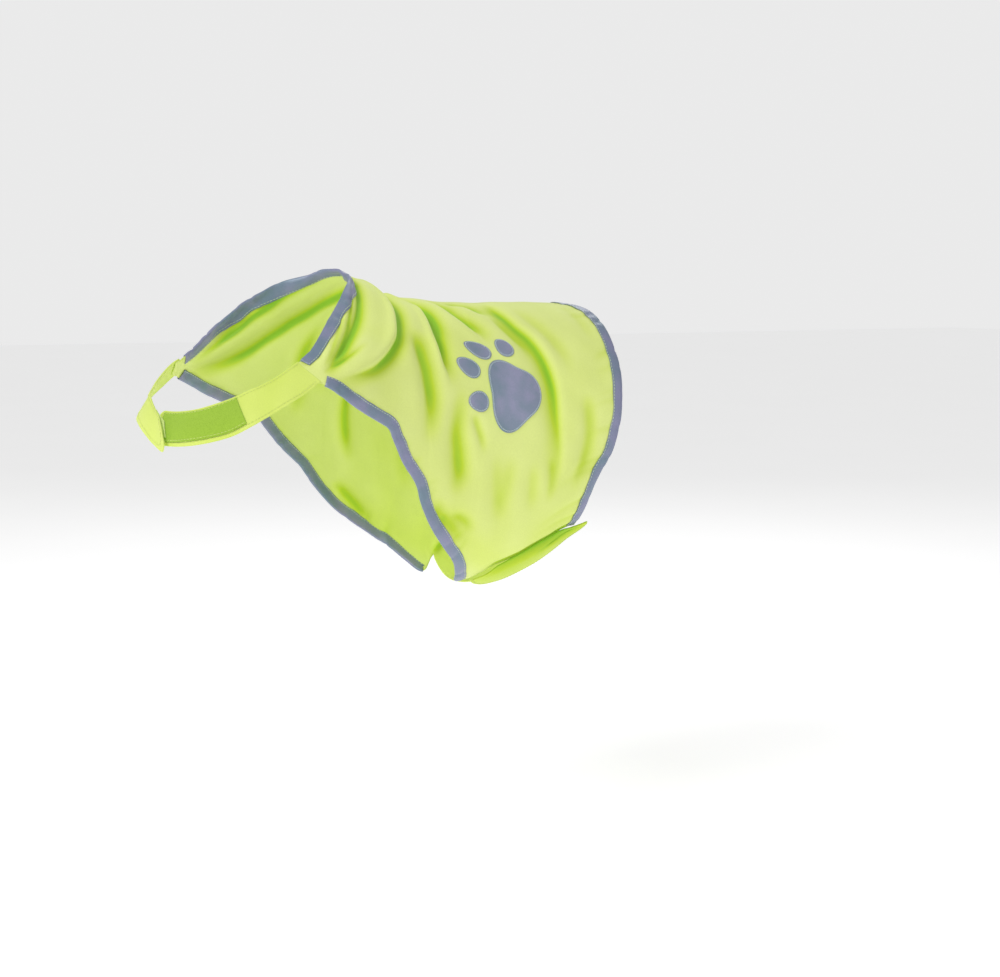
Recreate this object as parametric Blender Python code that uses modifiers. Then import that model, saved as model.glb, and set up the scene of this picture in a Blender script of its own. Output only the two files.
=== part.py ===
"""Dog safety vest: a worn cloth coat, closed by a neck strap and a belly strap.

Metres, +Z up.  The neck faces -Y, the tail end faces +Y and +X is the wearer's left.
The origin is where the cloth rests on the top of the shoulders.  The coat keeps the
hollow form it has when it is worn.

Every piece is drawn on one form.  A place on the form is a station, from 0 at the neck
ring to 1 at the hem, and an angle, from 0 at the spine to 180 at the belly, positive on
the left side.  A lift is a distance out of the form.
"""

import math

import bmesh
import bpy
import numpy as np

# --- driving sizes --------------------------------------------------------------------
PANEL_WALL = 0.0012
STRAP_WALL = 0.0018
TAPE_WALL = 0.0010
BINDING_WALL = 0.0009
BADGE_WALL = 0.0009
SEAM_GAP = 0.0003
LAID_GAP = 0.0005
FLANGE_GAP = 0.0008

BINDING_WIDTH = 0.0100
CORNER_RADIUS = 0.009
CORNER_BENDS = (0.0, 25.0, 50.0, 72.0)
BADGE_LIFT = PANEL_WALL + FLANGE_GAP
STRAP_LIFT = PANEL_WALL + 2 * LAID_GAP
NECK_LOOP_LIFT = STRAP_LIFT + STRAP_WALL + LAID_GAP
NECK_HOOK_LIFT = NECK_LOOP_LIFT + TAPE_WALL + LAID_GAP
NECK_TOP_LIFT = NECK_HOOK_LIFT + TAPE_WALL + LAID_GAP
BELLY_LOOP_LIFT = PANEL_WALL + LAID_GAP
BELLY_HOOK_LIFT = BELLY_LOOP_LIFT + TAPE_WALL + LAID_GAP
BELLY_TOP_LIFT = BELLY_HOOK_LIFT + TAPE_WALL + LAID_GAP

PANEL_COLUMNS = 34
PANEL_ROWS = 22
STRAP_STEP = 0.0062
STRAP_CELLS_ACROSS = 3
LEFT_FLAP_CELLS = (16, 6)
RIGHT_FLAP_CELLS = (12, 14)
BELLY_LOOP_CELLS = (5, 10)
BELLY_HOOK_CELLS = (5, 4)

# --- the form: one row for each section round the body ----------------------------------
SECTION_COLUMNS = ("station", "top_y", "top_z", "belly_y", "belly_z", "half_width",
                   "middle", "upper_power", "lower_power", "turn")
SECTIONS = (
    (0.00, -0.058, 0.0205, -0.281, -0.1010, 0.079, 0.60, 2.10, 2.13, 21.8),
    (0.15, -0.022, 0.0035, -0.293, -0.1310, 0.102, 0.60, 2.05, 2.20, 20.0),
    (0.35, 0.020, -0.0025, -0.200, -0.2215, 0.112, 0.52, 2.10, 2.20, 11.0),
    (0.60, 0.078, -0.0065, -0.040, -0.2895, 0.117, 0.48, 2.10, 2.05, 3.0),
    (0.80, 0.135, -0.0065, 0.080, -0.2955, 0.119, 0.48, 2.10, 1.95, 0.0),
    (1.00, 0.197, -0.0085, 0.195, -0.2545, 0.117, 0.50, 2.05, 1.95, 0.0),
)

# --- the cut of the back panel ----------------------------------------------------------
NECK_EDGE_COLUMNS = ("angle", "station")
NECK_EDGE = ((0, -0.054), (28, -0.059), (52, -0.046), (70, -0.025), (88, -0.007),
             (110, -0.006))
HEM_EDGE_COLUMNS = ("angle", "station")
HEM_EDGE = ((0, 1.008), (24, 1.024), (54, 1.018), (78, 1.003), (99, 0.980),
            (119, 0.946), (145, 0.938))
LOWER_EDGE_COLUMNS = ("length", "angle")
LOWER_EDGE = ((0.00, 106.0), (0.08, 103.0), (0.12, 97.0), (0.21, 90.0), (0.35, 92.0),
              (0.40, 98.0), (0.454, 105.4), (0.526, 113.8), (0.563, 121.0),
              (0.609, 129.2), (0.676, 139.4), (0.739, 149.7), (0.775, 159.0),
              (0.80, 166.0), (0.833, 157.3), (0.867, 151.5), (0.90, 146.5),
              (0.933, 143.0), (0.967, 141.4), (1.00, 140.3))

# --- where the grey edge binding starts and stops --------------------------------------
NECK_BINDING_INSET_ROWS = 2
ARMHOLE_BINDING_START = 0.135
ARMHOLE_BINDING_END = 0.80
ARMHOLE_BINDING_STEP = 0.5

# --- folds: a curve through three places, its spread and its depth (minus is a trough) ---
FOLD_COLUMNS = ("s0", "a0", "s1", "a1", "s2", "a2", "spread", "depth")
LEFT_FOLDS = (
    (0.004, 26, 0.028, 48, 0.070, 76, 0.0075, -0.0036),
    (0.030, 14, 0.070, 40, 0.110, 66, 0.0090, 0.0022),
    (0.071, 6, 0.195, 42, 0.180, 70, 0.0080, -0.0042),
    (0.120, 4, 0.250, 42, 0.230, 74, 0.0090, 0.0026),
    (0.190, 6, 0.330, 34, 0.433, 56, 0.0080, -0.0042),
    (0.260, 5, 0.390, 30, 0.500, 56, 0.0090, 0.0022),
    (0.255, 40, 0.340, 58, 0.430, 82, 0.0080, -0.0026),
    (0.400, 9, 0.470, 24, 0.545, 33, 0.0075, -0.0032),
    (0.443, 7, 0.520, 11, 0.600, 20, 0.0065, -0.0022),
    (0.640, 12, 0.775, 46, 0.832, 102, 0.0085, -0.0038),
    (0.700, 10, 0.835, 46, 0.885, 100, 0.0100, 0.0022),
    (0.508, 66, 0.549, 90, 0.600, 110, 0.0090, -0.0026),
    (0.880, 88, 0.890, 100, 0.875, 114, 0.0090, -0.0014),
    (0.790, 152, 0.860, 142, 0.960, 136, 0.0080, -0.0026),
    (0.780, 141, 0.850, 133, 0.935, 128, 0.0120, 0.0026),
)
RIGHT_FOLDS = (
    (0.014, -32, 0.035, -54, 0.072, -76, 0.0080, -0.0034),
    (0.076, -8, 0.170, -40, 0.162, -68, 0.0085, -0.0040),
    (0.110, -6, 0.230, -38, 0.210, -68, 0.0090, 0.0024),
    (0.200, -7, 0.300, -36, 0.400, -62, 0.0085, -0.0040),
    (0.270, -30, 0.350, -60, 0.425, -82, 0.0085, -0.0026),
    (0.410, -10, 0.480, -22, 0.560, -36, 0.0075, -0.0030),
    (0.620, -14, 0.760, -50, 0.815, -104, 0.0090, -0.0038),
    (0.690, -14, 0.825, -52, 0.870, -98, 0.0100, 0.0022),
    (0.520, -70, 0.560, -92, 0.615, -112, 0.0090, -0.0024),
    (0.885, -84, 0.895, -98, 0.880, -112, 0.0090, -0.0014),
    (0.790, -152, 0.860, -142, 0.960, -136, 0.0080, -0.0026),
    (0.780, -141, 0.850, -133, 0.935, -128, 0.0120, 0.0026),
)

FOLD_STEPS = 25
FOLD_END_FADE = 0.02
FOLD_FADE_POWER = 0.8

# --- straps, tapes: rows are lines across, from the upper edge to the lower edge ---------
STRAP_COLUMNS = ("order", "upper_station", "upper_angle", "lower_station", "lower_angle",
                 "lift")
LEFT_NECK_STRAP = (
    (0.0, -0.006, 100.5, 0.111, 97.0, STRAP_LIFT),
    (1.0, -0.004, 111.0, 0.117, 111.0, STRAP_LIFT),
    (2.0, -0.005, 129.7, 0.125, 127.3, STRAP_LIFT),
    (3.0, -0.008, 143.5, 0.138, 139.0, STRAP_LIFT),
    (4.0, -0.005, 157.5, 0.147, 151.0, STRAP_LIFT),
    (5.0, 0.002, 172.0, 0.150, 168.0, STRAP_LIFT),
    (6.0, 0.006, 191.0, 0.150, 191.0, STRAP_LIFT),
)
RIGHT_NECK_STRAP = (
    (0.0, -0.006, -100.5, 0.111, -97.0, STRAP_LIFT),
    (1.0, -0.008, -115.0, 0.112, -113.0, STRAP_LIFT),
    (2.0, -0.016, -129.0, 0.108, -128.0, STRAP_LIFT),
    (3.0, -0.022, -141.0, 0.102, -140.0, STRAP_LIFT + 0.0006),
    (4.0, -0.020, -154.0, 0.108, -155.0, NECK_TOP_LIFT - 0.0004),
    (5.0, 0.000, -163.0, 0.126, -166.0, NECK_TOP_LIFT),
    (6.0, 0.034, -169.5, 0.150, -174.5, NECK_TOP_LIFT),
    (7.0, 0.070, -177.0, 0.172, -184.5, NECK_TOP_LIFT),
)
NECK_LOOP_TAPE = (
    (0.0, 0.004, 144.0, 0.124, 140.0, NECK_LOOP_LIFT),
    (1.0, 0.008, 157.0, 0.133, 152.0, NECK_LOOP_LIFT),
    (2.0, 0.014, 172.0, 0.136, 168.0, NECK_LOOP_LIFT),
    (3.0, 0.018, 187.0, 0.136, 187.0, NECK_LOOP_LIFT),
)
NECK_HOOK_TAPE = (
    (0.0, 0.018, -166.5, 0.100, -169.0, NECK_HOOK_LIFT),
    (1.0, 0.040, -171.5, 0.118, -175.0, NECK_HOOK_LIFT),
    (2.0, 0.064, -176.5, 0.124, -180.5, NECK_HOOK_LIFT),
)

# --- belly straps: rows are lines across, from the side seam to the free end -------------
FLAP_COLUMNS = ("station", "seam_angle", "end_angle", "seam_lift", "end_lift")
LEFT_BELLY_STRAP = (
    (0.756, 162.0, 168.0, 0.0042, BELLY_TOP_LIFT),
    (0.775, 159.5, 171.0, 0.0042, BELLY_TOP_LIFT),
    (0.800, 153.5, 172.0, 0.0032, BELLY_TOP_LIFT),
    (0.835, 146.5, 168.0, 0.0024, BELLY_TOP_LIFT),
    (0.880, 141.5, 158.5, 0.0024, BELLY_TOP_LIFT),
    (0.905, 140.2, 152.5, 0.0034, BELLY_TOP_LIFT),
    (0.930, 139.4, 147.5, 0.0042, BELLY_TOP_LIFT),
    (0.972, 137.8, 140.8, 0.0042, BELLY_TOP_LIFT),
)
RIGHT_BELLY_STRAP = (
    (0.780, 200.5, 167.0, -0.0034, 0.0),
    (0.800, 206.0, 160.0, -0.0026, 0.0),
    (0.835, 212.5, 156.5, -0.0022, 0.0),
    (0.865, 216.5, 156.0, -0.0022, 0.0),
    (0.888, 218.5, 158.5, -0.0040, 0.0),
    (0.912, 219.8, 170.0, -0.0044, 0.0),
    (0.934, 220.6, 186.0, -0.0044, 0.0),
    (0.956, 221.0, 205.0, -0.0044, 0.0),
)
BELLY_LOOP_TAPE = (
    (0.806, 192.0, 160.0, BELLY_LOOP_LIFT, BELLY_LOOP_LIFT),
    (0.880, 192.0, 160.0, BELLY_LOOP_LIFT, BELLY_LOOP_LIFT),
)
BELLY_HOOK_TAPE = (
    (0.802, 159.5, 169.0, BELLY_HOOK_LIFT, BELLY_HOOK_LIFT),
    (0.832, 157.0, 165.0, BELLY_HOOK_LIFT, BELLY_HOOK_LIFT),
    (0.858, 154.5, 159.5, BELLY_HOOK_LIFT, BELLY_HOOK_LIFT),
)
FLAP_RISE = 0.010

# --- the paw badge: each lobe's centre and half sizes, seen flat on the side --------------
BADGE_STATION = 0.672
BADGE_ANGLE = 66.0
LOBE_COLUMNS = ("name", "aft", "up", "half_long", "half_short", "lean")
LOBES = (
    ("toe_1", -0.0398, -0.0035, 0.0118, 0.0103, 176.0),
    ("toe_2", -0.0446, 0.0315, 0.0138, 0.0097, 140.0),
    ("toe_3", -0.0276, 0.0525, 0.0155, 0.0097, 144.0),
    ("toe_4", 0.0026, 0.0550, 0.0128, 0.0093, 110.0),
)
TOE_TAPER = 0.16
TOE_STEPS, TOE_RINGS = 14, 2
PAD_UP = 0.0035
PAD_HALF = 0.0285
PAD_LEAN = 122.0
PAD_WAVE = 0.15
PAD_TAPER = 0.05
PAD_TALLER = 1.25
PAD_STEPS, PAD_RINGS = 26, 4

# --- materials: base colour and roughness -------------------------------------------------
FINISHES = {
    "yellow_cloth": ((0.62, 0.75, 0.12), 0.78),
    "reflective_tape": ((0.22, 0.25, 0.36), 0.45),
    "loop_tape": ((0.45, 0.66, 0.08), 0.95),
    "hook_tape": ((0.50, 0.62, 0.12), 0.70),
}


def smooth(xs, ys, at):
    """Read a table between its rows with a cubic that never overshoots."""
    xs, ys = np.asarray(xs, float), np.asarray(ys, float)
    step = np.diff(xs)
    slope = np.diff(ys) / step
    if len(xs) == 2:
        return ys[0] + slope[0] * (np.asarray(at, float) - xs[0])
    tangent = np.zeros_like(ys)
    same = slope[1:] * slope[:-1] > 0
    before = 2 * step[1:] + step[:-1]
    after = step[1:] + 2 * step[:-1]
    safe_1 = np.where(same, slope[:-1], 1.0)
    safe_2 = np.where(same, slope[1:], 1.0)
    tangent[1:-1] = np.where(same, (before + after) / (before / safe_1 + after / safe_2), 0.0)
    tangent[0], tangent[-1] = slope[0], slope[-1]
    at = np.asarray(at, float)
    cell = np.clip(np.searchsorted(xs, at) - 1, 0, len(xs) - 2)
    width = step[cell]
    part = (at - xs[cell]) / width
    inside = np.clip(part, 0.0, 1.0)
    value = ((2 * inside**3 - 3 * inside**2 + 1) * ys[cell]
             + (inside**3 - 2 * inside**2 + inside) * width * tangent[cell]
             + (3 * inside**2 - 2 * inside**3) * ys[cell + 1]
             + (inside**3 - inside**2) * width * tangent[cell + 1])
    beyond = np.where(part < 0, tangent[0] * part * width, 0.0)
    beyond = beyond + np.where(part > 1, tangent[-1] * (part - 1) * width, 0.0)
    return value + beyond


def read(table, columns, name, at):
    """Read one named column of a table at places along its first column."""
    place = columns.index(name)
    return smooth([row[0] for row in table], [row[place] for row in table], at)


def unit(vectors):
    """Scale vectors to length one."""
    return vectors / np.linalg.norm(vectors, axis=-1, keepdims=True)


def bare_form(station, angle):
    """Points of the form without folds; angle in degrees."""
    station, angle = np.broadcast_arrays(np.asarray(station, float),
                                         np.radians(np.asarray(angle, float)))
    size = {name: read(SECTIONS, SECTION_COLUMNS, name, station)
            for name in SECTION_COLUMNS[1:]}
    fall_y = size["belly_y"] - size["top_y"]
    fall_z = size["belly_z"] - size["top_z"]
    depth = np.hypot(fall_y, fall_z)
    across, along = np.sin(angle), np.cos(angle)
    reach = np.where(along > 0, size["middle"], 1 - size["middle"]) * depth
    power = np.where(along > 0, size["upper_power"], size["lower_power"])
    radius = (np.abs(along / reach)**power
              + np.abs(across / size["half_width"])**power)**(-1 / power)
    down = (size["middle"] * depth - radius * along) / depth
    x, y, z = radius * across, fall_y * down, size["top_z"] + fall_z * down
    turn = np.radians(size["turn"])
    return np.stack([x * np.cos(turn) - y * np.sin(turn),
                     size["top_y"] + x * np.sin(turn) + y * np.cos(turn), z], axis=-1)


def outward(surface, station, angle):
    """Unit normals, pointing out, of a surface given as a function of its two places."""
    small_s, small_a = 0.002, 0.4
    along = surface(station + small_s, angle) - surface(station - small_s, angle)
    around = surface(station, angle + small_a) - surface(station, angle - small_a)
    return unit(np.cross(around, along))


def through_three(first, second, third, steps):
    """A curve that passes a first value at 0, a second half way and a third at 1."""
    pull = 2 * second - (first + third) / 2
    return (1 - steps)**2 * first + 2 * steps * (1 - steps) * pull + steps**2 * third


def fold_height(points):
    """How far the folds push the cloth out at points on the bare form."""
    height = np.zeros(points.shape[:-1])
    steps = np.linspace(0.0, 1.0, FOLD_STEPS)
    for row in LEFT_FOLDS + RIGHT_FOLDS:
        fold = dict(zip(FOLD_COLUMNS, row))
        line = bare_form(through_three(fold["s0"], fold["s1"], fold["s2"], steps),
                         through_three(fold["a0"], fold["a1"], fold["a2"], steps))
        gap = np.linalg.norm(points[..., None, :] - line, axis=-1)
        along = FOLD_END_FADE + (1 - 2 * FOLD_END_FADE) * steps[gap.argmin(axis=-1)]
        fade = np.sin(np.pi * along)**FOLD_FADE_POWER
        height += fold["depth"] * fade * np.exp(-(gap.min(axis=-1) / fold["spread"])**2 / 2)
    return height


def form(station, angle, lift=0.0):
    """Points of the folded cloth's inner face, moved out by a lift."""
    station, angle = np.asarray(station, float), np.asarray(angle, float)
    points = bare_form(station, angle)
    push = fold_height(points) + lift
    return points + outward(bare_form, station, angle) * push[..., None]


def new_object(name, verts, faces, finish, wall=0.0):
    """Make a named mesh object; with a wall, Solidify closes the open surface."""
    mesh = bpy.data.meshes.new(name)
    mesh.from_pydata([tuple(vert) for vert in np.asarray(verts, float)], [], faces)
    mesh.validate()
    thing = bpy.data.objects.new(name, mesh)
    mesh.materials.append(MATERIALS[finish])
    PARTS.objects.link(thing)
    for face in mesh.polygons:
        face.use_smooth = True
    if wall:
        solid = thing.modifiers.new("wall", "SOLIDIFY")
        solid.thickness = wall
        solid.offset = 1.0
        solid.use_even_offset = False
    return thing


def grid_faces(count_1, count_2):
    """Triangles of a grid whose first direction runs round the body, second along it."""
    faces = []
    for i in range(count_1 - 1):
        for j in range(count_2 - 1):
            corner = i * count_2 + j
            across = corner + count_2 + 1
            faces.append((corner, corner + count_2, across))
            faces.append((corner, across, corner + 1))
    return faces


class Panel:
    """The back panel's grid: rows run round the body, columns along it."""

    def __init__(self):
        fine = np.linspace(0.0, 1.0, 400)
        spine = self.place(0.0 * fine, fine)
        edge = self.place(1.0 + 0.0 * fine, fine)
        run = np.linalg.norm(np.diff(spine, axis=0), axis=1)
        run = run + np.linalg.norm(np.diff(edge, axis=0), axis=1)
        run = np.concatenate([[0.0], np.cumsum(run)])
        length = np.interp(np.linspace(0.0, run[-1], PANEL_COLUMNS + 1), run, fine)
        side = np.linspace(-1.0, 1.0, 2 * PANEL_ROWS + 1)
        side, length = np.meshgrid(side, length, indexing="ij")
        self.length = length[0]
        self.points = self.place(side, length, form)
        around = np.gradient(self.points, axis=0)
        along = np.gradient(self.points, axis=1)
        self.normals = unit(np.cross(around, along))

    def place(self, side, length, surface=bare_form):
        """Points of a surface at shares of the panel's half girth and of its length."""
        angle = side * read(LOWER_EDGE, LOWER_EDGE_COLUMNS, "angle", length)
        neck = read(NECK_EDGE, NECK_EDGE_COLUMNS, "station", np.abs(angle))
        hem = read(HEM_EDGE, HEM_EDGE_COLUMNS, "station", np.abs(angle))
        return surface(neck + (hem - neck) * length, angle)

    def column_at(self, length):
        """The column nearest to a share of the panel's length."""
        return int(np.abs(self.length - length).argmin())

    def build(self):
        """The cloth itself, from one belly seam over the back to the other."""
        rows, columns = self.points.shape[:2]
        new_object("back_panel", self.points.reshape(-1, 3), grid_faces(rows, columns),
                   "yellow_cloth", PANEL_WALL)

    def at(self, row, column, lift):
        """A place on the panel's triangles, moved out; row and column may be fractions."""
        rows, columns = self.points.shape[:2]
        row0 = np.clip(np.floor(row).astype(int), 0, rows - 2)
        column0 = np.clip(np.floor(column).astype(int), 0, columns - 2)
        part_r, part_c = row - row0, column - column0
        low, high = np.minimum(part_r, part_c), np.maximum(part_r, part_c)
        turn = (part_r >= part_c).astype(int)
        total = 0.0
        for share, step_r, step_c in ((1 - high, 0, 0), (high - low, turn, 1 - turn),
                                      (low, 1, 1)):
            spot = (row0 + step_r, column0 + step_c)
            lifted = self.points[spot] + self.normals[spot] * np.asarray(lift)[..., None]
            total = total + share[..., None] * lifted
        return total

    def find(self, targets, row, column):
        """Rows and columns whose places lie nearest to target points."""
        for _ in range(12):
            here = self.at(row, column, np.zeros_like(row))
            by_row = self.at(row + 0.5, column, np.zeros_like(row)) - here
            by_column = self.at(row, column + 0.5, np.zeros_like(row)) - here
            miss = targets - here
            rr, cc = (by_row**2).sum(-1), (by_column**2).sum(-1)
            rc = (by_row * by_column).sum(-1)
            mr, mc = (miss * by_row).sum(-1), (miss * by_column).sum(-1)
            below = rr * cc - rc**2
            row = row + 0.5 * (mr * cc - mc * rc) / below
            column = column + 0.5 * (mc * rr - mr * rc) / below
        return row, column


def bind_edge(name, panel, row, column):
    """A folded tape over the panel's edge, along edge vertices given in order."""
    row, column = row.astype(float), column.astype(float)
    edge = panel.at(row, column, np.zeros_like(row))
    out = unit(panel.at(row, column, np.ones_like(row)) - edge)
    tangent = unit(np.gradient(edge, axis=0))
    inward = unit(np.cross(tangent, out))
    middle = panel.points[panel.points.shape[0] // 2, PANEL_COLUMNS // 2]
    if ((middle - edge) * inward).sum() < 0:
        inward = -inward
    over, under = PANEL_WALL + FLANGE_GAP, -FLANGE_GAP
    half = BINDING_WIDTH / 2
    bend = 0.3 * BINDING_WALL
    outer_chain = ((BINDING_WIDTH, over + BINDING_WALL), (half, over + BINDING_WALL),
                   (-bend, over + BINDING_WALL), (-SEAM_GAP - BINDING_WALL, PANEL_WALL / 2),
                   (-bend, under - BINDING_WALL), (half, under - BINDING_WALL),
                   (BINDING_WIDTH, under - BINDING_WALL))
    inner_chain = ((BINDING_WIDTH, over), (half, over), (-SEAM_GAP, over),
                   (-SEAM_GAP, PANEL_WALL / 2), (-SEAM_GAP, under), (half, under),
                   (BINDING_WIDTH, under))
    loop = outer_chain + inner_chain[::-1]
    rings = []
    for reach, lift in loop:
        if reach > 0:
            spot_r, spot_c = panel.find(edge + inward * reach, row, column)
            rings.append(panel.at(spot_r, spot_c, np.full(len(edge), lift)))
        else:
            rings.append(edge + inward * reach + out * lift)
    verts = np.stack(rings, axis=1)
    count, around = verts.shape[:2]
    faces = []
    for i in range(count - 1):
        for j in range(around):
            k = (j + 1) % around
            faces.append((i * around + j, i * around + k, (i + 1) * around + k,
                          (i + 1) * around + j))
    chain = len(outer_chain)
    for i, flip in ((0, False), (count - 1, True)):
        for j in range(chain - 1):
            cap = [i * around + j, i * around + around - 1 - j,
                   i * around + around - 2 - j, i * around + j + 1]
            faces.append(tuple(cap[::-1] if flip else cap))
    thing = new_object(name, verts.reshape(-1, 3), faces, "reflective_tape")
    face_out(thing)
    return thing


def face_out(thing):
    """Turn all faces of a closed mesh outward."""
    work = bmesh.new()
    work.from_mesh(thing.data)
    bmesh.ops.recalc_face_normals(work, faces=work.faces)
    work.to_mesh(thing.data)
    work.free()


def neck_ribbon(name, table, finish, wall, rounded_end):
    """A strap or tape round the neck: equal steps along it, a few cells across."""
    dense = np.linspace(0.0, table[-1][0], 200)
    value = {key: read(table, STRAP_COLUMNS, key, dense) for key in STRAP_COLUMNS[1:]}
    middle = bare_form((value["upper_station"] + value["lower_station"]) / 2,
                       (value["upper_angle"] + value["lower_angle"]) / 2)
    run = np.concatenate([[0.0], np.cumsum(np.linalg.norm(np.diff(middle, axis=0), axis=1))])
    count = max(4, round(run[-1] / STRAP_STEP))
    reach = np.linspace(0.0, run[-1], count + 1)
    inset = np.zeros_like(reach)
    if rounded_end:
        bend = np.radians(CORNER_BENDS)
        corner = run[-1] - CORNER_RADIUS * (np.sin(bend[-1]) - np.sin(bend))
        reach = np.append(reach[reach < corner[0] - 0.6 * STRAP_STEP], corner)
        inset = np.append(np.zeros(len(reach) - len(bend)), CORNER_RADIUS * (1 - np.cos(bend)))
    order = np.interp(reach, run, dense)
    width = np.linalg.norm(
        bare_form(read(table, STRAP_COLUMNS, "upper_station", order),
                  read(table, STRAP_COLUMNS, "upper_angle", order))
        - bare_form(read(table, STRAP_COLUMNS, "lower_station", order),
                    read(table, STRAP_COLUMNS, "lower_angle", order)), axis=-1)
    across = np.linspace(0.0, 1.0, STRAP_CELLS_ACROSS + 1)
    share = inset[:, None] / width[:, None]
    part = share + (1 - 2 * share) * across
    mix = {}
    for key in ("station", "angle"):
        upper = read(table, STRAP_COLUMNS, "upper_" + key, order)[:, None]
        lower = read(table, STRAP_COLUMNS, "lower_" + key, order)[:, None]
        mix[key] = upper + (lower - upper) * part
    lift = np.repeat(read(table, STRAP_COLUMNS, "lift", order)[:, None], len(across), axis=1)
    verts = form(mix["station"], mix["angle"], lift)
    faces = grid_faces(*verts.shape[:2])
    if table[-1][2] < table[0][2]:
        faces = [face[::-1] for face in faces]
    return new_object(name, verts.reshape(-1, 3), faces, finish, wall)


def belly_flap(name, table, finish, wall, cells, rise=0.0):
    """A strap or tape under the belly, from its seam angle to its end angle."""
    steps_along, cells_across = cells
    station = np.linspace(table[0][0], table[-1][0], steps_along + 1)[None, :]
    part = np.linspace(0.0, 1.0, cells_across + 1)[:, None]
    seam = read(table, FLAP_COLUMNS, "seam_angle", station)
    end = read(table, FLAP_COLUMNS, "end_angle", station)
    angle = seam + (end - seam) * part
    station = np.broadcast_to(station, angle.shape)
    grown = part
    if rise:
        width = np.linalg.norm(bare_form(station[:1], seam) - bare_form(station[:1], end),
                               axis=-1)
        grown = np.clip(part * width / rise, 0.0, 1.0)
        grown = grown**2 * (3 - 2 * grown)
    low = read(table, FLAP_COLUMNS, "seam_lift", station)
    high = read(table, FLAP_COLUMNS, "end_lift", station)
    verts = form(station, angle, low + (high - low) * grown)
    faces = grid_faces(*verts.shape[:2])
    if table[0][2] < table[0][1]:
        faces = [face[::-1] for face in faces]
    return new_object(name, verts.reshape(-1, 3), faces, finish, wall)


def toe_outline(half_long, half_short, lean):
    """An egg-shaped outline, leaning by an angle from the rearward direction."""
    turn = np.linspace(0.0, 2 * math.pi, TOE_STEPS, endpoint=False)
    long_way = half_long * np.cos(turn)
    short_way = half_short * np.sin(turn) * (1.0 - TOE_TAPER * np.cos(turn))
    lean = math.radians(lean)
    return np.stack([long_way * math.cos(lean) - short_way * math.sin(lean),
                     long_way * math.sin(lean) + short_way * math.cos(lean)], axis=-1)


def pad_outline():
    """A rounded three-lobed outline, its narrow lobe towards the toes."""
    turn = np.linspace(0.0, 2 * math.pi, PAD_STEPS, endpoint=False)
    from_toes = turn - math.radians(PAD_LEAN)
    radius = PAD_HALF * (1.0 + PAD_WAVE * np.cos(3 * from_toes) - PAD_TAPER * np.cos(from_toes))
    return np.stack([radius * np.cos(turn), PAD_TALLER * radius * np.sin(turn)], axis=-1)


def badge_piece(name, panel, side, centre, outline, rings):
    """One cloth lobe of the badge, laid on the panel's facets."""
    anchor = bare_form(BADGE_STATION, side * BADGE_ANGLE)
    normal = outward(bare_form, np.array(BADGE_STATION), np.array(side * BADGE_ANGLE))
    aft = unit(np.array([0.0, 1.0, 0.0]) - normal * normal[1])
    up = np.cross(normal, aft) * side
    shares = np.linspace(0.0, 1.0, rings + 1)[1:]
    flat = np.concatenate([[centre]] + [centre + outline * share for share in shares])
    targets = anchor + flat[:, :1] * aft + flat[:, 1:] * up
    row = np.full(len(flat), PANEL_ROWS * (1.0 + 0.5 * side))
    column = np.full(len(flat), float(panel.column_at(BADGE_STATION)))
    row, column = panel.find(targets, row, column)
    verts = panel.at(row, column, np.full(len(flat), BADGE_LIFT))
    count = len(outline)
    faces = [(0, 1 + j, 1 + (j + 1) % count) for j in range(count)]
    for ring in range(rings - 1):
        for j in range(count):
            k = (j + 1) % count
            base = 1 + ring * count
            faces.append((base + j, base + count + j, base + count + k, base + k))
    if side < 0:
        faces = [face[::-1] for face in faces]
    return new_object(name, verts, faces, "reflective_tape", BADGE_WALL)


def build_badge(panel, side, side_name):
    """Four toes and a pad on one side."""
    for row in LOBES:
        toe = dict(zip(LOBE_COLUMNS, row))
        outline = toe_outline(toe["half_long"], toe["half_short"], toe["lean"])
        badge_piece(f"badge_{toe['name']}_{side_name}", panel, side,
                    np.array([toe["aft"], toe["up"]]), outline, TOE_RINGS)
    badge_piece(f"badge_pad_{side_name}", panel, side, np.array([0.0, PAD_UP]), pad_outline(),
                PAD_RINGS)


def build_bindings(panel):
    """The grey tape over the neck, the hem and both armholes."""
    last_row, last_column = 2 * PANEL_ROWS, PANEL_COLUMNS
    rows = np.arange(NECK_BINDING_INSET_ROWS, last_row - NECK_BINDING_INSET_ROWS + 1)
    bind_edge("binding_neck", panel, rows, np.zeros_like(rows))
    rows = np.arange(0, last_row + 1)
    bind_edge("binding_hem", panel, rows, np.full_like(rows, last_column))
    columns = np.arange(panel.column_at(ARMHOLE_BINDING_START),
                        panel.column_at(ARMHOLE_BINDING_END) + ARMHOLE_BINDING_STEP,
                        ARMHOLE_BINDING_STEP)
    bind_edge("binding_armhole_left", panel, np.full_like(columns, last_row), columns)
    bind_edge("binding_armhole_right", panel, np.zeros_like(columns), columns)


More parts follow.
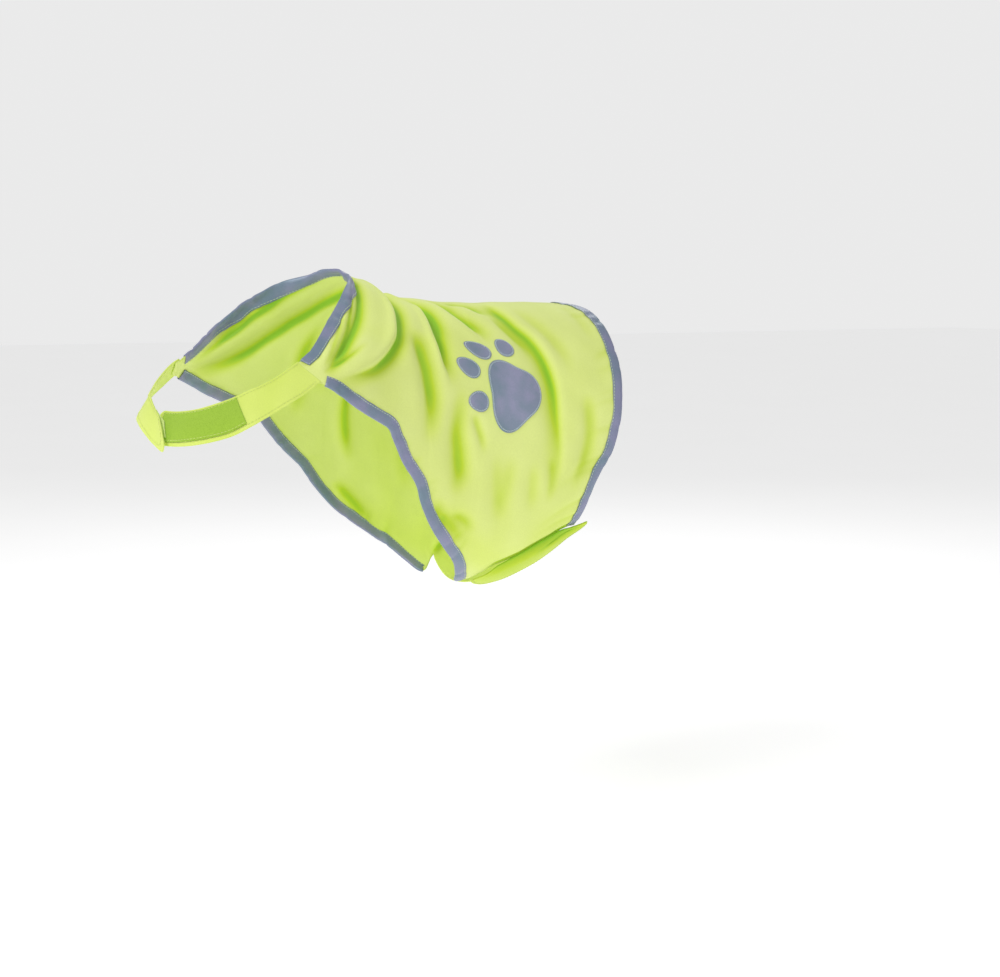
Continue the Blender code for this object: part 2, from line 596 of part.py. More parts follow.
def build_vest():
    """Make every piece in the order in which it is sewn."""
    panel = Panel()
    panel.build()
    build_bindings(panel)
    build_badge(panel, 1, "left")
    build_badge(panel, -1, "right")
    neck_ribbon("neck_strap_left", LEFT_NECK_STRAP, "yellow_cloth", STRAP_WALL, True)
    neck_ribbon("neck_strap_right", RIGHT_NECK_STRAP, "yellow_cloth", STRAP_WALL, True)
    neck_ribbon("neck_loop_tape", NECK_LOOP_TAPE, "loop_tape", TAPE_WALL, False)
    neck_ribbon("neck_hook_tape", NECK_HOOK_TAPE, "hook_tape", TAPE_WALL, False)
    belly_flap("belly_strap_left", LEFT_BELLY_STRAP, "yellow_cloth", STRAP_WALL,
               LEFT_FLAP_CELLS, FLAP_RISE)
    belly_flap("belly_strap_right", RIGHT_BELLY_STRAP, "yellow_cloth", PANEL_WALL,
               RIGHT_FLAP_CELLS, FLAP_RISE)
    belly_flap("belly_loop_tape", BELLY_LOOP_TAPE, "loop_tape", TAPE_WALL, BELLY_LOOP_CELLS)
    belly_flap("belly_hook_tape", BELLY_HOOK_TAPE, "hook_tape", TAPE_WALL, BELLY_HOOK_CELLS)


def make_material(name, colour, roughness):
    """A plain Principled material."""
    material = bpy.data.materials.new(name)
    material.use_nodes = True
    shader = material.node_tree.nodes["Principled BSDF"]
    shader.inputs["Base Color"].default_value = (*colour, 1.0)
    shader.inputs["Roughness"].default_value = roughness
    return material


for old in list(bpy.data.objects):
    bpy.data.objects.remove(old, do_unlink=True)
PARTS = bpy.data.collections.new("dog_safety_vest")
bpy.context.scene.collection.children.link(PARTS)
MATERIALS = {name: make_material(name, *look) for name, look in FINISHES.items()}
build_vest()
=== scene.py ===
"""Looks of a dog safety vest: cloth, edge binding, straps, tapes, paw badges and sewing.

Metres, +Z up.  The neck faces -Y, the tail end faces +Y and +X is the wearer's left.
A place on the vest is a station, from 0 at the neck ring to 1 at the hem, and an angle in
degrees, from 0 at the spine to 180 at the belly, positive on the left side.  A lift is a
distance out of the cloth's inner face.
"""

import logging
import math
from collections.abc import Callable
from dataclasses import dataclass
from enum import Enum

import bpy
import numpy as np
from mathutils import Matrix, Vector


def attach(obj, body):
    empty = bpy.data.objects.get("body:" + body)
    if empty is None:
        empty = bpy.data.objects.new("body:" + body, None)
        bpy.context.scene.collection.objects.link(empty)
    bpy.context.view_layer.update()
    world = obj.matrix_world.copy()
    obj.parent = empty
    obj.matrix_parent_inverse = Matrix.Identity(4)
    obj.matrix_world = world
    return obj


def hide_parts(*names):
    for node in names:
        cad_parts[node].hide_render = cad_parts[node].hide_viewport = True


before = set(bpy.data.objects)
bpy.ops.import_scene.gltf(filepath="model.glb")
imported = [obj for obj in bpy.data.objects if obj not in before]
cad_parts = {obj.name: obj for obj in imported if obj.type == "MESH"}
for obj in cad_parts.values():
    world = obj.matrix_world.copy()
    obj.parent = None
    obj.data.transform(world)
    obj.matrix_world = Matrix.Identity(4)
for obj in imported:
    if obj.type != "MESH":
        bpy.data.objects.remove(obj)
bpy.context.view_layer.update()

LOG = logging.getLogger("dog_safety_vest")
Array = np.ndarray
Places = tuple[tuple[float, float], ...]


class Side(Enum):
    """The wearer's two sides."""

    LEFT = 1
    RIGHT = -1

    @property
    def label(self) -> str:
        """The side's name in a piece's name."""
        return self.name.lower()


class Slot(Enum):
    """The record's material slots."""

    CLOTH = "yellow_cloth"
    REFLECTIVE = "reflective_tape"
    LOOP = "loop_tape"
    HOOK = "hook_tape"


class StitchStyle(Enum):
    """How a row of thread runs."""

    STRAIGHT = "straight"
    ZIGZAG = "zigzag"


# --- numbers along a line ---------------------------------------------------------------


def smooth(xs: Array, ys: Array, at: Array) -> Array:
    """Read a table between its rows with a cubic that never overshoots.

    Args:
        xs: the rows' places, rising.
        ys: the rows' values.
        at: the places to read; beyond the ends the curve goes on straight.

    Returns:
        The values at those places.
    """
    xs, ys, at = np.asarray(xs, float), np.asarray(ys, float), np.asarray(at, float)
    step = np.diff(xs)
    slope = np.diff(ys) / step
    if len(xs) == 2:
        return ys[0] + slope[0] * (at - xs[0])
    tangent = np.zeros_like(ys)
    same = slope[1:] * slope[:-1] > 0
    before, after = 2 * step[1:] + step[:-1], step[1:] + 2 * step[:-1]
    safe_1, safe_2 = np.where(same, slope[:-1], 1.0), np.where(same, slope[1:], 1.0)
    tangent[1:-1] = np.where(same, (before + after) / (before / safe_1 + after / safe_2), 0.0)
    tangent[0], tangent[-1] = slope[0], slope[-1]
    cell = np.clip(np.searchsorted(xs, at) - 1, 0, len(xs) - 2)
    width = step[cell]
    part = (at - xs[cell]) / width
    inside = np.clip(part, 0.0, 1.0)
    value = ((2 * inside**3 - 3 * inside**2 + 1) * ys[cell]
             + (inside**3 - 2 * inside**2 + inside) * width * tangent[cell]
             + (3 * inside**2 - 2 * inside**3) * ys[cell + 1]
             + (inside**3 - inside**2) * width * tangent[cell + 1])
    beyond = np.where(part < 0, tangent[0] * part * width, 0.0)
    return value + beyond + np.where(part > 1, tangent[-1] * (part - 1) * width, 0.0)


def ease(part: Array) -> Array:
    """A soft step from 0 to 1 over parts 0 to 1."""
    part = np.clip(part, 0.0, 1.0)
    return part * part * (3.0 - 2.0 * part)


def waver(at: Array, step: float, seed: int) -> Array:
    """A smooth uneven wave between -1 and 1.

    Args:
        at: places along a line, in metres.
        step: the mean distance between its turns.
        seed: which wave.

    Returns:
        The wave at each place.
    """
    at, count = np.asarray(at, float) / step, 512
    knots = np.random.default_rng(seed).uniform(-1.0, 1.0, count)
    low = np.floor(at).astype(int)
    part = ease(at - low)
    return knots[low % count] * (1 - part) + knots[(low + 1) % count] * part


def unit(vectors: Array) -> Array:
    """Scale vectors to length one."""
    return vectors / np.maximum(np.linalg.norm(vectors, axis=-1, keepdims=True), 1e-12)


def run_of(points: Array) -> Array:
    """The length along a line of points, from 0 at the first."""
    return np.concatenate([[0.0], np.cumsum(np.linalg.norm(np.diff(points, axis=0), axis=1))])


def edge_spaced(length: float, fine: float, coarse: float) -> Array:
    """Places from 0 to a length, close together at both ends.

    Args:
        length: the whole length.
        fine: the first step at each end.
        coarse: the longest step, in the middle.

    Returns:
        The places, rising, as many on one half as on the other.
    """
    half, step = [0.0], fine
    while half[-1] + step < length / 2:
        half.append(half[-1] + step)
        step = min(coarse, step * 1.6)
    low = np.array(half) * (length / 2) / (half[-1] + step / 2)
    return np.concatenate([low, length - low[::-1]])


# --- the worn form ----------------------------------------------------------------------


@dataclass(frozen=True)
class Section:
    """One section round the body: its top and belly points, its width and its roundness."""

    station: float
    top_y: float
    top_z: float
    belly_y: float
    belly_z: float
    half_width: float
    middle: float
    upper_power: float
    lower_power: float
    turn: float


SECTIONS = (
    Section(0.00, -0.058, 0.0205, -0.281, -0.1010, 0.079, 0.60, 2.10, 2.13, 21.8),
    Section(0.15, -0.022, 0.0035, -0.293, -0.1310, 0.102, 0.60, 2.05, 2.20, 20.0),
    Section(0.35, 0.020, -0.0025, -0.200, -0.2215, 0.112, 0.52, 2.10, 2.20, 11.0),
    Section(0.60, 0.078, -0.0065, -0.040, -0.2895, 0.117, 0.48, 2.10, 2.05, 3.0),
    Section(0.80, 0.135, -0.0065, 0.080, -0.2955, 0.119, 0.48, 2.10, 1.95, 0.0),
    Section(1.00, 0.197, -0.0085, 0.195, -0.2545, 0.117, 0.50, 2.05, 1.95, 0.0),
)


@dataclass(frozen=True)
class Crease:
    """A soft trough in the cloth along a few places, with a ridge on its forward side.

    Depth, ridge and both spreads are in metres; front and rear are how far the trough
    spreads towards the neck and towards the hem.  Ends are the shares of its length over
    which it fades in and out, and tint is the painted shade that deepens the cloth in it.
    """

    places: Places
    depth: float
    front: float
    rear: float
    ridge: float = 0.0
    fade_in: float = 0.25
    fade_out: float = 0.3
    tint: float = 1.0


# In these tables the last number of each crease is painted shade: how much its colour deepens.
LEFT_CREASES = (
    Crease(((-0.052, 4), (-0.038, 12.5), (-0.008, 27), (0.021, 40.6), (0.039, 52.5),
            (0.053, 62.4), (0.070, 74), (0.088, 88), (0.094, 93)),
           0.0058, 0.0028, 0.0064, 0.0020, 0.10, 0.36, 1.30),
    Crease(((-0.058, 16), (-0.044, 24), (-0.006, 41), (0.024, 54), (0.044, 65), (0.062, 76),
            (0.078, 86)),
           0.0026, 0.0016, 0.0026, 0.0014, 0.12, 0.30, 0.85),
    Crease(((-0.030, 42), (0.004, 56), (0.030, 69), (0.056, 81), (0.070, 90)),
           0.0018, 0.0016, 0.0030, 0.0010, 0.30, 0.35, 0.50),
    Crease(((0.106, 52), (0.099, 60), (0.093, 68.5), (0.085, 79), (0.080, 86)),
           0.0020, 0.0016, 0.0034, 0.0009, 0.45, 0.45, 0.60),
    Crease(((0.045, 1), (0.071, 7), (0.120, 20), (0.165, 31.6), (0.197, 42), (0.206, 52),
            (0.203, 61), (0.183, 71), (0.160, 81), (0.128, 92)),
           0.0068, 0.0026, 0.0084, 0.0024, 0.08, 0.45, 1.30),
    Crease(((0.168, 1), (0.208, 8), (0.263, 14), (0.296, 25), (0.333, 35.5), (0.368, 42),
            (0.406, 50), (0.440, 57), (0.470, 66)),
           0.0070, 0.0025, 0.0090, 0.0026, 0.06, 0.45, 1.35),
    Crease(((0.185, 3), (0.225, 11), (0.285, 18.4), (0.338, 29), (0.375, 38), (0.412, 48)),
           0.0034, 0.0050, 0.0092, 0.0, 0.12, 0.60, 1.00),
    Crease(((0.240, 31), (0.262, 38), (0.305, 48), (0.360, 59), (0.410, 71), (0.447, 84),
            (0.470, 97)),
           0.0046, 0.0062, 0.0108, 0.0012, 0.32, 0.40, 1.02),
    Crease(((0.372, 5), (0.405, 12.6), (0.438, 20), (0.497, 27), (0.545, 33), (0.590, 42)),
           0.0052, 0.0040, 0.0094, 0.0014, 0.20, 0.42, 1.15),
    Crease(((0.440, 5), (0.496, 8.7), (0.543, 11.2), (0.580, 17), (0.607, 23)),
           0.0040, 0.0044, 0.0082, 0.0008, 0.30, 0.40, 1.05),
    Crease(((0.638, 6), (0.659, 15.8), (0.694, 28), (0.739, 37), (0.770, 46), (0.788, 53),
            (0.804, 63), (0.813, 75), (0.827, 90), (0.836, 104), (0.838, 116)),
           0.0060, 0.0112, 0.0044, 0.0010, 0.14, 0.42, 1.15),
    Crease(((0.612, 19), (0.633, 26.5), (0.670, 34.5), (0.710, 41.5), (0.736, 49)),
           0.0020, 0.0040, 0.0056, 0.0004, 0.35, 0.45, 0.55),
    Crease(((0.702, 11), (0.760, 24), (0.812, 37), (0.850, 50), (0.870, 66)),
           0.0020, 0.0060, 0.0090, 0.0006, 0.40, 0.50, 0.30),
    Crease(((0.488, 58), (0.502, 68), (0.524, 83), (0.556, 95), (0.582, 106), (0.594, 118)),
           0.0044, 0.0078, 0.0092, 0.0008, 0.50, 0.30, 0.86),
    Crease(((0.553, 73), (0.572, 78), (0.605, 87), (0.630, 96)),
           0.0022, 0.0034, 0.0044, 0.0006, 0.40, 0.45, 0.50),
    Crease(((0.545, 116), (0.575, 124), (0.634, 132), (0.690, 142)),
           0.0028, 0.0050, 0.0074, 0.0008, 0.34, 0.44, 0.62),
    Crease(((0.600, 124), (0.645, 127), (0.690, 134)),
           0.0020, 0.0040, 0.0056, 0.0004, 0.40, 0.45, 0.50),
    Crease(((0.895, 66), (0.906, 76), (0.912, 91), (0.900, 106), (0.890, 119)),
           0.0024, 0.0062, 0.0074, 0.0006, 0.36, 0.36, 0.50),
    Crease(((0.810, 94), (0.828, 107), (0.836, 121)),
           0.0016, 0.0046, 0.0060, 0.0004, 0.35, 0.40, 0.42),
    Crease(((0.655, 92), (0.692, 110), (0.735, 129)),
           0.0012, 0.0060, 0.0070, 0.0004, 0.40, 0.40, 0.24),
    Crease(((0.764, 96), (0.784, 110), (0.800, 124)),
           0.0012, 0.0050, 0.0066, 0.0004, 0.40, 0.40, 0.24),
    Crease(((0.700, 92), (0.712, 104), (0.722, 118), (0.742, 130)),
           0.0018, 0.0080, 0.0090, 0.0006, 0.40, 0.45, 0.30),
    Crease(((0.940, 12), (0.952, 28), (0.955, 46)),
           0.0014, 0.0060, 0.0080, 0.0004, 0.40, 0.45, 0.20),
    # No trough here: only painted shade, darkening the cloth along its lower side.
    Crease(((0.550, 124), (0.640, 135), (0.730, 146), (0.800, 153), (0.880, 141), (0.990, 134)),
           0.0, 0.024, 0.024, 0.0, 0.10, 0.10, 0.20),
)
RIGHT_CREASES = (
    Crease(((-0.052, -5), (-0.034, -16), (0.000, -33), (0.026, -48), (0.046, -62),
            (0.068, -77), (0.086, -90)),
           0.0056, 0.0036, 0.0085, 0.0020, 0.12, 0.42, 1.25),
    Crease(((-0.040, -34), (-0.004, -48), (0.024, -60), (0.044, -70)),
           0.0028, 0.0020, 0.0034, 0.0014, 0.30, 0.40, 0.70),
    Crease(((0.060, -2), (0.090, -11), (0.138, -24), (0.172, -38), (0.186, -52),
            (0.178, -66), (0.150, -80), (0.122, -92)),
           0.0062, 0.0036, 0.0096, 0.0022, 0.12, 0.45, 1.22),
    Crease(((0.182, -3), (0.226, -12), (0.272, -24), (0.322, -37), (0.372, -50),
            (0.418, -62), (0.446, -75)),
           0.0068, 0.0038, 0.0112, 0.0022, 0.10, 0.45, 1.35),
    Crease(((0.258, -28), (0.300, -44), (0.350, -60), (0.400, -75), (0.440, -92)),
           0.0044, 0.0060, 0.0102, 0.0012, 0.34, 0.42, 0.95),
    Crease(((0.400, -8), (0.446, -18), (0.504, -27), (0.566, -38)),
           0.0046, 0.0044, 0.0090, 0.0012, 0.24, 0.42, 1.02),
    Crease(((0.600, -8), (0.655, -22), (0.716, -36), (0.764, -50), (0.796, -66),
            (0.812, -84), (0.826, -104)),
           0.0056, 0.0104, 0.0046, 0.0010, 0.20, 0.42, 1.05),
    Crease(((0.505, -62), (0.528, -78), (0.560, -94), (0.600, -110)),
           0.0042, 0.0056, 0.0070, 0.0008, 0.28, 0.40, 0.95),
    Crease(((0.566, -118), (0.612, -128), (0.672, -140)),
           0.0028, 0.0050, 0.0070, 0.0008, 0.32, 0.42, 0.75),
    Crease(((0.890, -60), (0.904, -78), (0.902, -98)),
           0.0024, 0.0062, 0.0078, 0.0006, 0.36, 0.40, 0.45),
    Crease(((0.706, -90), (0.722, -108), (0.742, -126)),
           0.0018, 0.0080, 0.0090, 0.0006, 0.40, 0.45, 0.30),
    # No trough here: only painted shade, darkening the cloth along its lower side.
    Crease(((0.550, -124), (0.640, -135), (0.730, -146), (0.800, -153), (0.880, -141),
            (0.990, -134)),
           0.0, 0.024, 0.024, 0.0, 0.10, 0.10, 0.20),
)
BELLY_CREASES = (
    Crease(((0.770, 158), (0.803, 151), (0.845, 144.5), (0.900, 140.2), (0.960, 137)),
           0.0030, 0.0034, 0.0034, 0.0, 0.20, 0.25, 0.60),
    Crease(((0.850, 148), (0.900, 143.5), (0.955, 139.5)),
           0.0012, 0.0020, 0.0020, 0.0, 0.40, 0.30, 0.40),
    Crease(((0.770, -158), (0.803, -151), (0.845, -144.5), (0.900, -140.2), (0.960, -137)),
           0.0030, 0.0034, 0.0034, 0.0, 0.20, 0.25, 0.60),
)


class WornForm:
    """The shell-shaped form the cloth takes on its wearer, with its creases and painted shade."""

    waves = 9
    wave_seed = 12
    wave_lengths = (0.026, 0.070)
    wave_height = 0.00042
    # Painted shade per metre of wave depth, deepening the colour in the wave troughs.
    wave_tint = -60.0
    line_points = 14
    reach_spreads = 3.2
    roll_place = 2.6
    roll_spread = 1.4
    # Where the painted shade behind each trough lies, and how wide it is, in spreads.
    stain_place = 0.1
    stain_spread = 0.72

    def __init__(self, sections: tuple[Section, ...], creases: tuple[Crease, ...]) -> None:
        """Keep the sections and lay each crease's line on the bare form.

        Args:
            sections: the sections round the body, from the neck to the hem.
            creases: the soft troughs of both sides.
        """
        self.stations = [section.station for section in sections]
        self.tables = {name: [getattr(section, name) for section in sections]
                       for name in Section.__dataclass_fields__ if name != "station"}
        self.creases = [(crease, *self._crease_line(crease)) for crease in creases]
        dice = np.random.default_rng(self.wave_seed)
        self.wave_vectors = unit(dice.normal(size=(self.waves, 3)))
        self.wave_vectors *= 2 * math.pi / dice.uniform(*self.wave_lengths, (self.waves, 1))
        self.wave_starts = dice.uniform(0.0, 2 * math.pi, self.waves)

    def bare(self, station: Array, angle: Array) -> Array:
        """Points of the form without creases, at places given by station and angle."""
        station, angle = np.broadcast_arrays(np.asarray(station, float),
                                             np.radians(np.asarray(angle, float)))
        size = {name: smooth(self.stations, column, station)
                for name, column in self.tables.items()}
        fall_y = size["belly_y"] - size["top_y"]
        fall_z = size["belly_z"] - size["top_z"]
        depth = np.hypot(fall_y, fall_z)
        across, along = np.sin(angle), np.cos(angle)
        reach = np.where(along > 0, size["middle"], 1 - size["middle"]) * depth
        power = np.where(along > 0, size["upper_power"], size["lower_power"])
        radius = (np.abs(along / reach)**power
                  + np.abs(across / size["half_width"])**power)**(-1 / power)
        down = (size["middle"] * depth - radius * along) / depth
        x, y, z = radius * across, fall_y * down, size["top_z"] + fall_z * down
        turn = np.radians(size["turn"])
        return np.stack([x * np.cos(turn) - y * np.sin(turn),
                         size["top_y"] + x * np.sin(turn) + y * np.cos(turn), z], axis=-1)

    def outward(self, surface: Callable, station: Array, angle: Array) -> Array:
        """Unit normals, pointing out, of a surface given as a function of place."""
        station, angle = np.asarray(station, float), np.asarray(angle, float)
        small_s, small_a = 0.0015, 0.25
        along = surface(station + small_s, angle) - surface(station - small_s, angle)
        around = surface(station, angle + small_a) - surface(station, angle - small_a)
        return unit(np.cross(around, along))

    def _crease_line(self, crease: Crease) -> tuple[Array, Array, Array]:
        """A crease's points on the bare form, its directions, and its rearward directions."""
        count = len(crease.places)
        at = np.linspace(0.0, count - 1.0, self.line_points * count)
        station = smooth(range(count), [place[0] for place in crease.places], at)
        angle = smooth(range(count), [place[1] for place in crease.places], at)
        line = self.bare(station, angle)
        along = unit(np.gradient(line, axis=0))
        normal = self.outward(self.bare, station, angle)
        rearward = unit(np.cross(normal, along))
        aft = self.bare(station + 0.01, angle) - line
        rearward *= np.sign((rearward * aft).sum(-1).mean())
        return line, along, rearward

    def folds(self, points: Array) -> tuple[Array, Array]:
        """How the creases change the cloth.

        Args:
            points: places on the bare form.

        Returns:
            How far the cloth is pushed out at each place, and its painted shade.
        """
        flat = points.reshape(-1, 3)
        height = np.sin(flat @ self.wave_vectors.T + self.wave_starts).sum(axis=1)
        height *= self.wave_height / math.sqrt(self.waves / 2)
        # Painted shade: the colour deepens in the troughs of the small waves.
        hollow = self.wave_tint * height
        for crease, line, along, rearward in self.creases:
            margin = self.reach_spreads * max(crease.front, crease.rear)
            near = np.flatnonzero(((flat > line.min(0) - margin)
                                   & (flat < line.max(0) + margin)).all(axis=1))
            if not len(near):
                continue
            gap = flat[near][:, None, :] - line
            nearest = (gap**2).sum(-1).argmin(axis=1)
            gap = gap[np.arange(len(near)), nearest]
            ahead = (gap * along[nearest]).sum(-1)
            segment = np.linalg.norm(line[1] - line[0])
            share = (nearest + np.clip(ahead / segment, -1.0, 1.0)) / (len(line) - 1)
            off = np.linalg.norm(gap - ahead[:, None] * along[nearest], axis=-1)
            off *= np.where((gap * rearward[nearest]).sum(-1) < 0, -1.0, 1.0)
            past = np.maximum(np.abs(ahead) - segment, 0.0) / crease.front
            fade = (ease(share / crease.fade_in) * ease((1 - share) / crease.fade_out)
                    * np.exp(-past**2))
            spread = np.where(off < 0, crease.front, crease.rear)
            trough = np.exp(-(off / spread)**2 / 2)
            roll = np.exp(-((off + self.roll_place * crease.front)
                            / (self.roll_spread * crease.front))**2 / 2)
            # Painted shade: a band just behind the trough where the colour deepens as if shaded.
            crease_shade = np.exp(-((off - self.stain_place * spread)
                             / (self.stain_spread * spread))**2 / 2)
            height[near] += fade * (crease.ridge * roll - crease.depth * trough)
            hollow[near] += fade * crease.tint * crease_shade
        return height.reshape(points.shape[:-1]), hollow.reshape(points.shape[:-1])

    def cloth(self, station: Array, angle: Array) -> Array:
        """Points of the creased cloth's inner face."""
        station, angle = np.broadcast_arrays(np.asarray(station, float),
                                             np.asarray(angle, float))
        points = self.bare(station, angle)
        return points + self.outward(self.bare, station, angle) * self.folds(points)[0][..., None]

    def place(self, station: Array, angle: Array, lift: Array = 0.0) -> Array:
        """Points of the creased cloth moved out along its own normals by a lift."""
        station, angle = np.broadcast_arrays(np.asarray(station, float),
                                             np.asarray(angle, float))
        normal = self.outward(self.cloth, station, angle)
        return self.cloth(station, angle) + normal * np.asarray(lift, float)[..., None]

    def hollow(self, station: Array, angle: Array) -> Array:
        """How much painted shade deepens the cloth's colour at each place."""
        return self.folds(self.bare(station, angle))[1]

    def step(self, station: Array, angle: Array, move: Array) -> tuple[Array, Array]:
        """The places reached by small moves, given as vectors along the form."""
        small_s, small_a = 0.002, 0.4
        by_s = (self.bare(station + small_s, angle) - self.bare(station - small_s, angle))
        by_a = (self.bare(station, angle + small_a) - self.bare(station, angle - small_a))
        by_s, by_a = by_s / (2 * small_s), by_a / (2 * small_a)
        ss, aa, sa = (by_s**2).sum(-1), (by_a**2).sum(-1), (by_s * by_a).sum(-1)
        ms, ma = (move * by_s).sum(-1), (move * by_a).sum(-1)
        below = ss * aa - sa**2
        return station + (ms * aa - ma * sa) / below, angle + (ma * ss - ms * sa) / below

    def beside(self, station: Array, angle: Array, reach: float,
               towards: Array) -> tuple[Array, Array]:
        """A line laid beside a line on the form.

        Args:
            station: the line's stations.
            angle: the line's angles.
            reach: how far beside it.
            towards: a point on the side that it goes to.

        Returns:
            The new line's stations and angles.
        """
        for _ in range(2):
            line = self.bare(station, angle)
            normal = self.outward(self.bare, station, angle)
            aside = unit(np.cross(unit(np.gradient(line, axis=0)), normal))
            aside *= np.sign(((towards - line) * aside).sum(-1).mean())
            station, angle = self.step(station, angle, aside * reach / 2)
        return station, angle


@dataclass(frozen=True)
class PanelCut:
    """The cut of the back panel: its neck, hem and lower edges on the form."""

    neck: Places = ((0, -0.054), (28, -0.059), (52, -0.046), (70, -0.025), (88, -0.007),
                    (110, -0.006))
    hem: Places = ((0, 1.008), (24, 1.024), (54, 1.018), (78, 1.003), (99, 0.980),
                   (119, 0.946), (145, 0.938))
    lower: Places = ((0.00, 106.0), (0.08, 103.0), (0.12, 97.0), (0.21, 90.0), (0.35, 92.0),
                     (0.40, 98.0), (0.454, 105.4), (0.526, 113.8), (0.563, 121.0),
                     (0.609, 129.2), (0.676, 139.4), (0.739, 149.7), (0.775, 159.0),
                     (0.80, 166.0), (0.833, 157.3), (0.867, 151.5), (0.90, 146.5),
                     (0.933, 143.0), (0.967, 141.4), (1.00, 140.3))

    def spot(self, side: Array, length: Array) -> tuple[Array, Array]:
        """The place at a share of the half girth and a share of the panel's length.

        Args:
            side: from -1 at the right lower edge over 0 at the spine to 1 at the left one.
            length: from 0 at the neck edge to 1 at the hem.

        Returns:
            Its station and its angle.
        """
        side, length = np.broadcast_arrays(np.asarray(side, float), np.asarray(length, float))
        angle = side * smooth(*zip(*self.lower), length)
        neck = smooth(*zip(*self.neck), np.abs(angle))
        hem = smooth(*zip(*self.hem), np.abs(angle))
        return neck + (hem - neck) * length, angle


@dataclass(frozen=True)
class Gathers:
    """Small uneven ripples where the bindings gather the cloth's edges."""

    seed: int = 31
    armhole: int = 15
    hem: int = 26
    neck: int = 16
    depth: tuple[float, float] = (0.0004, 0.0012)
    spread: tuple[float, float] = (0.0018, 0.0034)
    rear_share: float = 1.3
    ridge_share: float = 0.3
    fade_in: float = 0.05
    fade_out: float = 0.75
    # Painted shade in each ripple, per metre of its depth.
    tint_per_metre: float = 200.0

    def creases(self, cut: PanelCut) -> tuple[Crease, ...]:
        """Short creases that run inward from the armholes, the hem and the neck edge."""
        dice = np.random.default_rng(self.seed)
        made = []
        for side in Side:
            for start in np.linspace(0.16, 0.76, self.armhole):
                start += dice.uniform(-0.018, 0.018)
                reach, drift = dice.uniform(0.04, 0.13), dice.uniform(-0.02, 0.05)
                made.append(self._crease(dice, cut, [
                    (side.value * (1 - reach * t), start + drift * t) for t in (0, 0.5, 1)]))
        for edge, count, deepest in ((1.0, self.hem, -0.14), (0.0, self.neck, 0.10)):
            for start in np.linspace(-0.93, 0.93, count):
                start += dice.uniform(-0.03, 0.03)
                reach, drift = dice.uniform(0.3, 1.0) * deepest, dice.uniform(-0.03, 0.03)
                made.append(self._crease(dice, cut, [
                    (start + drift * t, edge + reach * t) for t in (0, 0.5, 1)]))
        return tuple(made)

    def _crease(self, dice: np.random.Generator, cut: PanelCut,
                path: list[tuple[float, float]]) -> Crease:
        """One ripple along three places of the cut."""
        places = tuple((float(s), float(a)) for s, a in (cut.spot(*spot) for spot in path))
        depth, spread = dice.uniform(*self.depth), dice.uniform(*self.spread)
        return Crease(places, depth, spread, self.rear_share * spread,
                      self.ridge_share * depth, self.fade_in, self.fade_out,
                      self.tint_per_metre * depth)


# --- finishes ---------------------------------------------------------------------------


